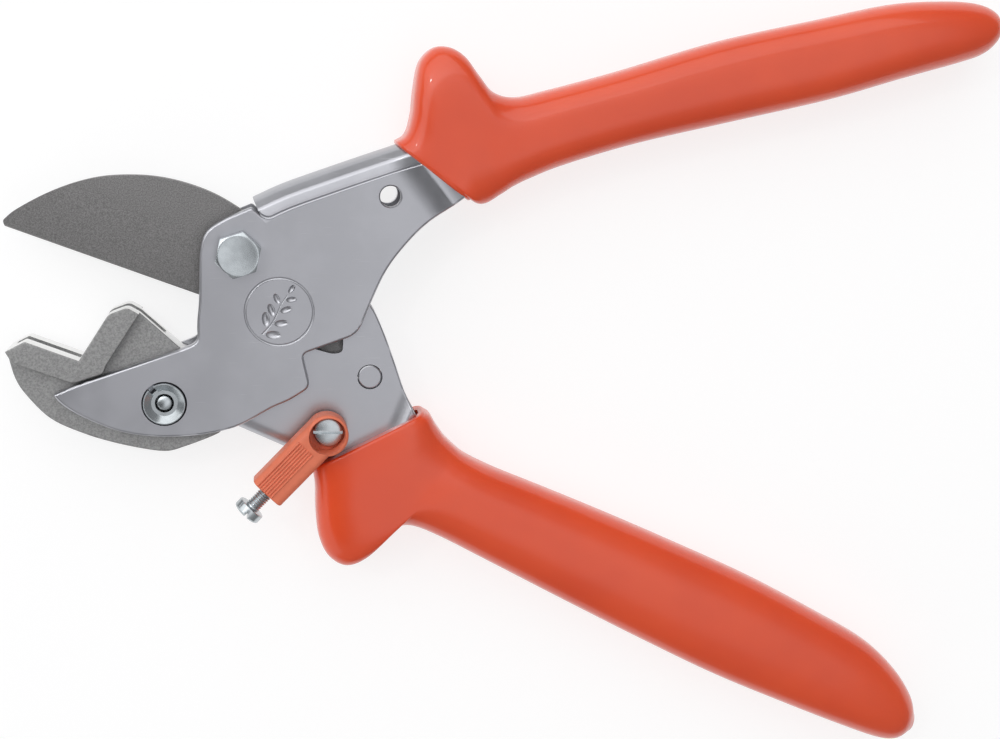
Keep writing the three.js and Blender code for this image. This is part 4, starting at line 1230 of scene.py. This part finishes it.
class PRUNER_OT_latch(bpy.types.Operator):
    """Makes the moulded latch arm with its ribs, its pivot screw, washer, nut and adjusting screw."""
    bl_idname = "pruner.latch"
    bl_label = "Latch arm and its screws"

    def arm(self):
        """The moulded arm with its well, its screw channel and the height of its top."""
        low, high = (height_mm(corner.z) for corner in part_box("latch_arm"))
        high -= 0.12
        half = ARM_WIDTH / 2
        corner = 1.5
        section = outline([(ARM_OFFSET - half, low, 0.4), (ARM_OFFSET + half, low, 0.4),
                           (ARM_OFFSET + half, high, corner), (ARM_OFFSET - half, high, corner * 1.25)])
        rings = [[(x, *p) for p in inset(section, draw)] for x, draw in
                 ((-1.0, 0.0), (ARM_LENGTH - 0.35, 0.0), (ARM_LENGTH - 0.1, 0.1), (ARM_LENGTH, 0.35))]
        body = skin(rings)
        knuckle = slab(circle(0.3, 0.0, KNUCKLE_R, 96), low, high, 0.7, 0.3, 5)
        below, above = low - 1, high + 1
        keep = join(slab(circle(0.3, 0.0, KNUCKLE_R, 96), below, above),
                    block(10.4, ARM_OFFSET, 20, 12, below, above))
        body = join(common(body, keep), knuckle)
        well_r, past = 3.3, 20
        counterbore = turned([(0, SEAT_Z), (well_r, SEAT_Z), (well_r, high - 0.25), (3.55, high + 0.05),
                              (3.55, past), (0, past)], count=96)
        eased = turned([(0, SEAT_Z), (well_r, SEAT_Z), (3.5, high + 1), (0, high + 1)], 0.6, 0, 96)
        channel = turned([(0, ARM_LENGTH + 2), (1.8, ARM_LENGTH + 2), (1.8, 3.1), (0, 3.1)], count=40)
        transform(channel, ALONG_ARM)
        return cut(body, counterbore, eased, bore(2.3, past), channel), high

    def pivot_screw(self):
        """The slotted screw that sits in the arm's well."""
        seat, top = SEAT_Z + GAP, height_mm(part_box("latch_pivot_screw")[1].z)
        bottom = height_mm(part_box("latch_pivot_screw")[0].z)
        body = turned([(0, bottom), (1.8, bottom), (2.0, bottom + 0.2), (2.0, seat), (2.9, seat),
                       (2.9, top - 0.35), (2.75, top - 0.12), (2.45, top), (0, top)], count=96)
        return cut(body, block(0, 0, 8, 0.55, top - 0.7, top + 1, -2 - LATCH_DEG))

    def adjuster(self):
        """The threaded rod and slotted cheese head in the end of the arm."""
        start = 6.8
        head = start + 14.2
        thread = [disc_ring(1.15, start), *thread_rings(1.5, start + 0.3, head - 0.1, 0.5, 0.26, 28, 10)]
        profile = [(2.6, head), (2.82, head + 0.1), (2.9, head + 0.35), (2.9, head + 1.6),
                   (2.75, head + 1.85), (2.5, head + 2.0)]
        cheese = [disc_ring(radius, x) for radius, x in profile]
        body = skin(thread + cheese)
        body = cut(body, block(0, 0, 8, 0.75, head + 1.1, head + 4))
        return transform(body, ALONG_ARM)

    def execute(self, context):
        plastic = material("moulded_latch")
        arm, top = self.arm()
        ribs = rib_tree(plastic).grow(polyline([(0, 0, 0)]))
        transform(ribs, Matrix.Translation((5.0, ARM_OFFSET - 2.7, top - 0.02)))
        place("latch_lever", in_arm(together(arm, ribs)), "latch", "moulded_latch", "latch_arm", 40)
        place("latch_cheese_screw", in_arm(self.pivot_screw()), "blade_handle", "zinc_fastener",
              "latch_pivot_screw")
        place("threaded_adjuster", in_arm(self.adjuster()), "adjuster", "zinc_fastener",
              "latch_adjusting_screw")
        low, high = (height_mm(corner.z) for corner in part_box("latch_washer"))
        washer = cut(eased_disc(3.6, low, high, 0.1), bore(2.3, CLEAR))
        place("plain_latch_washer", in_arm(washer), "blade_handle", "zinc_fastener", "latch_washer")
        nut = cut(hex_bar(7, -BLADE_HALF, BLADE_HALF, 54 - LATCH_DEG), bore(2.3, CLEAR))
        place("hexagon_latch_nut", in_arm(nut), "blade_handle", "zinc_fastener", "latch_nut")
        return {"FINISHED"}


# ------------------------------------------------------------------ grips
GRIP_HALF = 7.4
# each station: the two rails' x and y, half the thickness, and how square the section is
UPPER_RAILS = [
    (31.0, 21.2, 45.6, 9.7, 7.1, 4.2), (32.9, 22.6, 46.4, 9.1, 7.2, 4.2), (34.0, 26.2, 47.2, 8.8, 7.2, 4.0),
    (34.6, 31.2, 48.0, 8.75, 7.2, 3.8), (35.7, 36.3, 48.8, 8.9, 7.2, 3.6),
    (38.4, 39.1, 49.5, 9.2, 7.2, 3.5), (41.6, 39.3, 50.3, 9.65, 7.2, 3.4),
    (44.6, 37.6, 51.3, 10.3, 7.2, 3.3), (47.2, 34.2, 52.6, 11.1, 7.25, 3.2),
    (50.2, 30.7, 54.2, 12.1, 7.3, 3), (54.7, 29.6, 57.4, 13.6, GRIP_HALF, 2.8),
    (61, 30.9, 64.5, 16.3, GRIP_HALF, 2.8), (75.3, 34.6, 79, 20.4, GRIP_HALF, 2.8),
    (95.4, 40.4, 98.5, 24.6, GRIP_HALF, 2.8), (115.7, 44.7, 118.5, 28.9, GRIP_HALF, 2.8),
    (131, 47.8, 133.5, 33.0, GRIP_HALF, 2.6), (142, 48.5, 145.0, 36.0, 7.0, 2.4),
    (149, 48.1, 150.4, 37.7, 6.0, 2.2), (153.0, 46.6, 153.3, 39.8, 4.4, 2),
    (154.5, 44.4, 154.5, 42.2, 1.6, 2)]
LOWER_RAILS = [
    (36.2, -33.0, 13.4, -43.7, 6.9, 4.2), (37.4, -33.8, 13.9, -47.5, 7.1, 4.0),
    (38.4, -35.6, 13.9, -52.5, 7.2, 3.8), (39.3, -37.0, 14.4, -57.9, 7.2, 3.6),
    (40.2, -38.3, 16.2, -62.1, 7.2, 3.5), (41.2, -39.4, 19.4, -64.3, 7.2, 3.4),
    (42.3, -40.5, 22.9, -63.4, 7.2, 3.3), (43.6, -41.7, 26.2, -60.1, 7.25, 3.2),
    (45.4, -42.9, 28.8, -57.2, 7.3, 3), (48, -44.3, 32.5, -56.4, GRIP_HALF, 2.8),
    (52, -46.2, 38.5, -58.9, GRIP_HALF, 2.6), (60, -49.7, 50, -65.4, GRIP_HALF, 2.6),
    (74, -56.0, 65, -74.0, GRIP_HALF, 2.6), (89, -63.1, 81, -83.0, GRIP_HALF, 2.6),
    (105, -71.0, 97, -91.6, GRIP_HALF, 2.6), (120, -79.5, 113, -99.1, GRIP_HALF, 2.6),
    (131, -86.3, 126, -104.9, 7.3, 2.5), (137.6, -92.6, 134, -108.2, 6.6, 2.3),
    (141.6, -98.6, 138.2, -109.0, 5.2, 2.1), (143.1, -103.4, 141.6, -107.8, 2.4, 2)]
LIP = 0.6
GRIP_FIT = 0.02


def grip_ring(station, sides, draw=0.0, thin=None, ahead=(0.0, 0.0)):
    """A rounded section between the rails, drawn in by draw (by thin in its thickness) and moved by ahead."""
    ax, ay, bx, by, half, square = station
    a, b = Vector((ax, ay)), Vector((bx, by))
    reach = max((a - b).length / 2 - draw, 0.01)
    middle, across = (a + b) / 2 + Vector(ahead), (a - b).normalized()
    height = max(half - (draw if thin is None else thin), 0.01)
    ring = []
    for k in range(sides):
        c, s = math.cos(2 * math.pi * k / sides), math.sin(2 * math.pi * k / sides)
        n = math.copysign(abs(c) ** (2 / square), c) * reach
        ring.append((*(middle + across * n), math.copysign(abs(s) ** (2 / square), s) * height))
    return ring


def grip_solid(rails, sheet_half, sides=88, steps=9):
    """A dipped grip: the lip at its mouth, its body and its rounded end."""
    curve = spline([np.array(station, float) for station in rails], steps)
    mouth = curve[0]
    a, b = Vector(mouth[:2]), Vector(mouth[2:4])
    out = Vector((-(a - b).y, (a - b).x)).normalized()
    if out.x > 0:
        out = -out
    inner = mouth[4] - sheet_half
    rings = [grip_ring(mouth, sides, 1.3, inner, -out * 2.0), grip_ring(mouth, sides, 1.2, inner, out * 0.3)]
    for k in range(6):
        turn = math.pi / 2 * k / 5
        draw = LIP * (1 - math.sin(turn))
        rings.append(grip_ring(mouth, sides, draw, draw, out * (LIP * math.cos(turn) - 0.1)))
    rings += [grip_ring(station, sides) for station in curve[1:]]
    last = curve[-1]
    rings.append(grip_ring(last, sides, last[4] * 0.5))
    return skin(rings)


class PRUNER_OT_grips(bpy.types.Operator):
    """Makes the two dipped grips."""
    bl_idname = "pruner.grips"
    bl_label = "Dipped grips"

    def execute(self, context):
        place("upper_dipped_grip", grip_solid(UPPER_RAILS, UPPER_OUT + GRIP_FIT), "anvil_handle",
              "dipped_vinyl", "upper_grip", 60)
        place("lower_dipped_grip", grip_solid(LOWER_RAILS, LOWER_OUT + GRIP_FIT), "blade_handle",
              "dipped_vinyl", "lower_grip", 60)
        return {"FINISHED"}


# ------------------------------------------------------------------ stage
# the grey of the sky by its height, and the dark side that the bright metal mirrors
SKY_GREYS = [(0.0, 0.40), (0.10, 0.16), (0.55, 0.24), (0.84, 0.36), (0.945, 0.92), (0.982, 0.82), (1.0, 0.70)]
DARK_SIDE = (-0.42, -0.20, 0.88)
DARK_COSINES = (0.90, 0.965)
DARK_SHARE = 0.88
DARK_GREY = (0.02, 0.02, 0.022)


class PRUNER_OT_stage(bpy.types.Operator):
    """Lays the pale floor and sets the soft studio light and the camera."""
    bl_idname = "pruner.stage"
    bl_label = "Studio"

    def floor(self, settings):
        """A wide pale sheet under the tool, which glows a little by itself."""
        mesh = bpy.data.meshes.new("studio_floor")
        reach = 3.0
        corners = [(-reach, -reach, 0), (reach, -reach, 0), (reach, reach, 0), (-reach, reach, 0)]
        mesh.from_pydata(corners, [], [(0, 1, 2, 3)])
        floor = bpy.data.objects.new("studio_floor", mesh)
        bpy.context.scene.collection.objects.link(floor)
        sheet = Sheet("studio_floor", Roughness=0.9, Emission_Strength=settings.floor_glow,
                      Emission_Color=(1, 1, 1, 1))
        worn = shade(settings.floor_colour, 0.985)
        sheet.feed(Base_Color=sheet.mix(sheet.noise(3.0), settings.floor_colour, worn))
        mesh.materials.append(sheet.material)

    def lamp(self, name, at, size, watts, aim):
        """A soft rectangular panel aimed at a point."""
        data = bpy.data.lights.new(name, "AREA")
        data.shape, data.size, data.size_y, data.energy = "RECTANGLE", size[0], size[1], watts
        lamp = bpy.data.objects.new(name, data)
        bpy.context.scene.collection.objects.link(lamp)
        lamp.location = at
        lamp.rotation_mode = "QUATERNION"
        lamp.rotation_quaternion = (Vector(aim) - Vector(at)).to_track_quat("-Z", "Y")

    def sky(self, settings):
        """A sky that is bright overhead, grey lower down and dark to one side."""
        world = bpy.data.worlds.new("studio_sky")
        bpy.context.scene.world = world
        world.use_nodes = True
        background = world.node_tree.nodes["Background"]
        graph = Graph(world.node_tree)
        where = graph.node("ShaderNodeTexCoord", {}, {})["Generated"]
        level = graph.node("ShaderNodeSeparateXYZ", {}, {"0": where})
        stops = [(position, (grey, grey, grey * 1.02, 1.0)) for position, grey in SKY_GREYS]
        graded = graph.node("ShaderNodeValToRGB", {"stops": stops}, {"0": level["Z"]})[0]
        shadow = tuple(Vector(DARK_SIDE).normalized())
        facing = graph.node("ShaderNodeVectorMath", {"operation": "DOT_PRODUCT"},
                            {"0": where, "1": shadow})["Value"]
        mixed = graph.mix(facing.ramp(*DARK_COSINES) * DARK_SHARE, graded, DARK_GREY)
        world.node_tree.links.new(mixed.socket, background.inputs["Color"])
        background.inputs["Strength"].default_value = settings.sky_strength

    def camera(self, settings):
        """The camera, nearly overhead, aimed at the middle of the tool."""
        data = bpy.data.cameras.new("studio_camera")
        data.sensor_width, data.lens = 36.0, settings.lens
        data.clip_start, data.clip_end = 0.01, 20.0
        camera = bpy.data.objects.new("studio_camera", data)
        bpy.context.scene.collection.objects.link(camera)
        bpy.context.scene.camera = camera
        low, high = CAD_BOX
        middle = (low + high) / 2
        target = Vector((middle.x + settings.aim_shift[0], middle.y + settings.aim_shift[1], MID_HEIGHT))
        tilt, bearing = settings.camera_tilt, settings.camera_heading
        lean = math.sin(tilt)
        back = Vector((lean * math.cos(bearing), lean * math.sin(bearing), math.cos(tilt)))
        right = Vector((back.z, 0, -back.x)).normalized()
        up = back.cross(right)
        turn = Matrix((right, up, back)).transposed()
        camera.matrix_world = Matrix.Translation(target + back * settings.camera_distance) @ turn.to_4x4()

    def execute(self, context):
        settings = context.scene.pruner_stage
        self.floor(settings)
        self.sky(settings)
        middle = (0.05, -0.03, 0.0)
        self.lamp("key_panel", (-0.45, 0.85, 0.95), (2.4, 1.5), settings.key_watts, middle)
        self.lamp("fill_panel", (-1.1, -0.9, 0.45), (1.2, 1.2), settings.fill_watts, middle)
        self.lamp("small_lamp", (-0.50, 0.42, 1.0), (0.07, 0.07), settings.spark_watts, middle)
        self.camera(settings)
        context.scene.view_settings.view_transform = "Standard"
        return {"FINISHED"}


# ------------------------------------------------------------------ settings
class PrunerSheetSettings(bpy.types.PropertyGroup):
    """Sizes of the two folded sheets."""
    upper_sheet: bpy.props.FloatProperty(name="Anvil handle sheet",
                                         description="Sheet thickness in millimetres", default=2.0)
    lower_sheet: bpy.props.FloatProperty(name="Blade handle sheet",
                                         description="Sheet thickness in millimetres", default=1.8)
    upper_bend: bpy.props.FloatProperty(name="Anvil handle bend",
                                        description="Outside bend radius in millimetres", default=4.2)
    lower_bend: bpy.props.FloatProperty(name="Blade handle bend",
                                        description="Outside bend radius in millimetres", default=2.9)
    edge_round: bpy.props.FloatProperty(name="Edge round",
                                        description="Radius of the die-rolled rims in millimetres",
                                        default=0.55)


class PrunerFinishSettings(bpy.types.PropertyGroup):
    """Colours of the finished pieces."""
    plate_colour: bpy.props.FloatVectorProperty(name="Plating", description="Reflectance of the plated sheet",
                                                subtype="COLOR", default=(0.49, 0.495, 0.525))
    blade_colour: bpy.props.FloatVectorProperty(name="Blade", description="Reflectance of the blasted blade",
                                                subtype="COLOR", default=(0.235, 0.231, 0.229))
    anvil_colour: bpy.props.FloatVectorProperty(name="Anvil", description="Reflectance of the anvil casting",
                                                subtype="COLOR", default=(0.37, 0.37, 0.367))
    zinc_colour: bpy.props.FloatVectorProperty(name="Fasteners",
                                               description="Reflectance of the zinc fasteners",
                                               subtype="COLOR", default=(0.56, 0.60, 0.62))
    grip_colour: bpy.props.FloatVectorProperty(name="Grips", description="Colour of the dipped vinyl",
                                               subtype="COLOR", default=(0.83, 0.080, 0.015))
    latch_colour: bpy.props.FloatVectorProperty(name="Latch", description="Colour of the latch moulding",
                                                subtype="COLOR", default=(0.84, 0.21, 0.11))


class PrunerStageSettings(bpy.types.PropertyGroup):
    """The floor, the lights and the camera."""
    floor_colour: bpy.props.FloatVectorProperty(name="Floor", description="Colour of the floor",
                                                subtype="COLOR", default=(0.28, 0.28, 0.28))
    floor_glow: bpy.props.FloatProperty(name="Floor glow", description="Light of the floor itself",
                                        default=0.76)
    sky_strength: bpy.props.FloatProperty(name="Sky", description="Strength of the surrounding light",
                                          default=1.28)
    key_watts: bpy.props.FloatProperty(name="Key", description="Power of the large key panel", unit="POWER",
                                        default=14.0)
    fill_watts: bpy.props.FloatProperty(name="Fill", description="Power of the fill panel", unit="POWER",
                                         default=3.0)
    spark_watts: bpy.props.FloatProperty(name="Small lamp", description="Power of the small lamp",
                                         unit="POWER", default=0.6)
    lens: bpy.props.FloatProperty(name="Lens", description="Focal length in millimetres", unit="CAMERA",
                                   default=60.2)
    camera_distance: bpy.props.FloatProperty(name="Distance", description="Camera to the aimed point",
                                             unit="LENGTH", default=0.340)
    camera_tilt: bpy.props.FloatProperty(name="Tilt", description="Lean away from straight above",
                                         subtype="ANGLE", default=math.radians(13.03))
    camera_heading: bpy.props.FloatProperty(name="Heading", description="Where the camera leans, from +X",
                                            subtype="ANGLE", default=math.radians(126.67))
    aim_shift: bpy.props.FloatVectorProperty(name="Aim",
                                             description="Aimed point from the middle of the tool", size=2,
                                             unit="LENGTH", default=(-0.00303, 0.00519))


class PRUNER_PT_panel(bpy.types.Panel):
    """Lists the pieces of the pruner."""
    bl_idname = "PRUNER_PT_panel"
    bl_label = "Anvil pruner"
    bl_space_type = "VIEW_3D"
    bl_region_type = "UI"
    bl_category = "Pruner"

    def draw(self, context):
        for step in STEPS:
            self.layout.operator(step.bl_idname)


STEPS = [PRUNER_OT_stage, PRUNER_OT_anvil_handle, PRUNER_OT_blade_handle, PRUNER_OT_blade, PRUNER_OT_anvil,
         PRUNER_OT_pivot, PRUNER_OT_anvil_fastener, PRUNER_OT_tang_rivet, PRUNER_OT_spring, PRUNER_OT_latch,
         PRUNER_OT_grips]
GROUPS = {"pruner_sheet": PrunerSheetSettings, "pruner_finish": PrunerFinishSettings,
          "pruner_stage": PrunerStageSettings}


def register():
    """Adds the settings, the operators and the panel."""
    for group in GROUPS.values():
        bpy.utils.register_class(group)
    for name, group in GROUPS.items():
        setattr(bpy.types.Scene, name, bpy.props.PointerProperty(type=group))
    for step in STEPS:
        bpy.utils.register_class(step)
    bpy.utils.register_class(PRUNER_PT_panel)


def unregister():
    """Takes them away again."""
    bpy.utils.unregister_class(PRUNER_PT_panel)
    for step in reversed(STEPS):
        bpy.utils.unregister_class(step)
    for name, group in GROUPS.items():
        delattr(bpy.types.Scene, name)
        bpy.utils.unregister_class(group)


def main():
    """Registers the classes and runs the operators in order."""
    register()
    for step in STEPS:
        group, action = step.bl_idname.split(".")
        getattr(getattr(bpy.ops, group), action)()


if __name__ == "__main__":
    main()
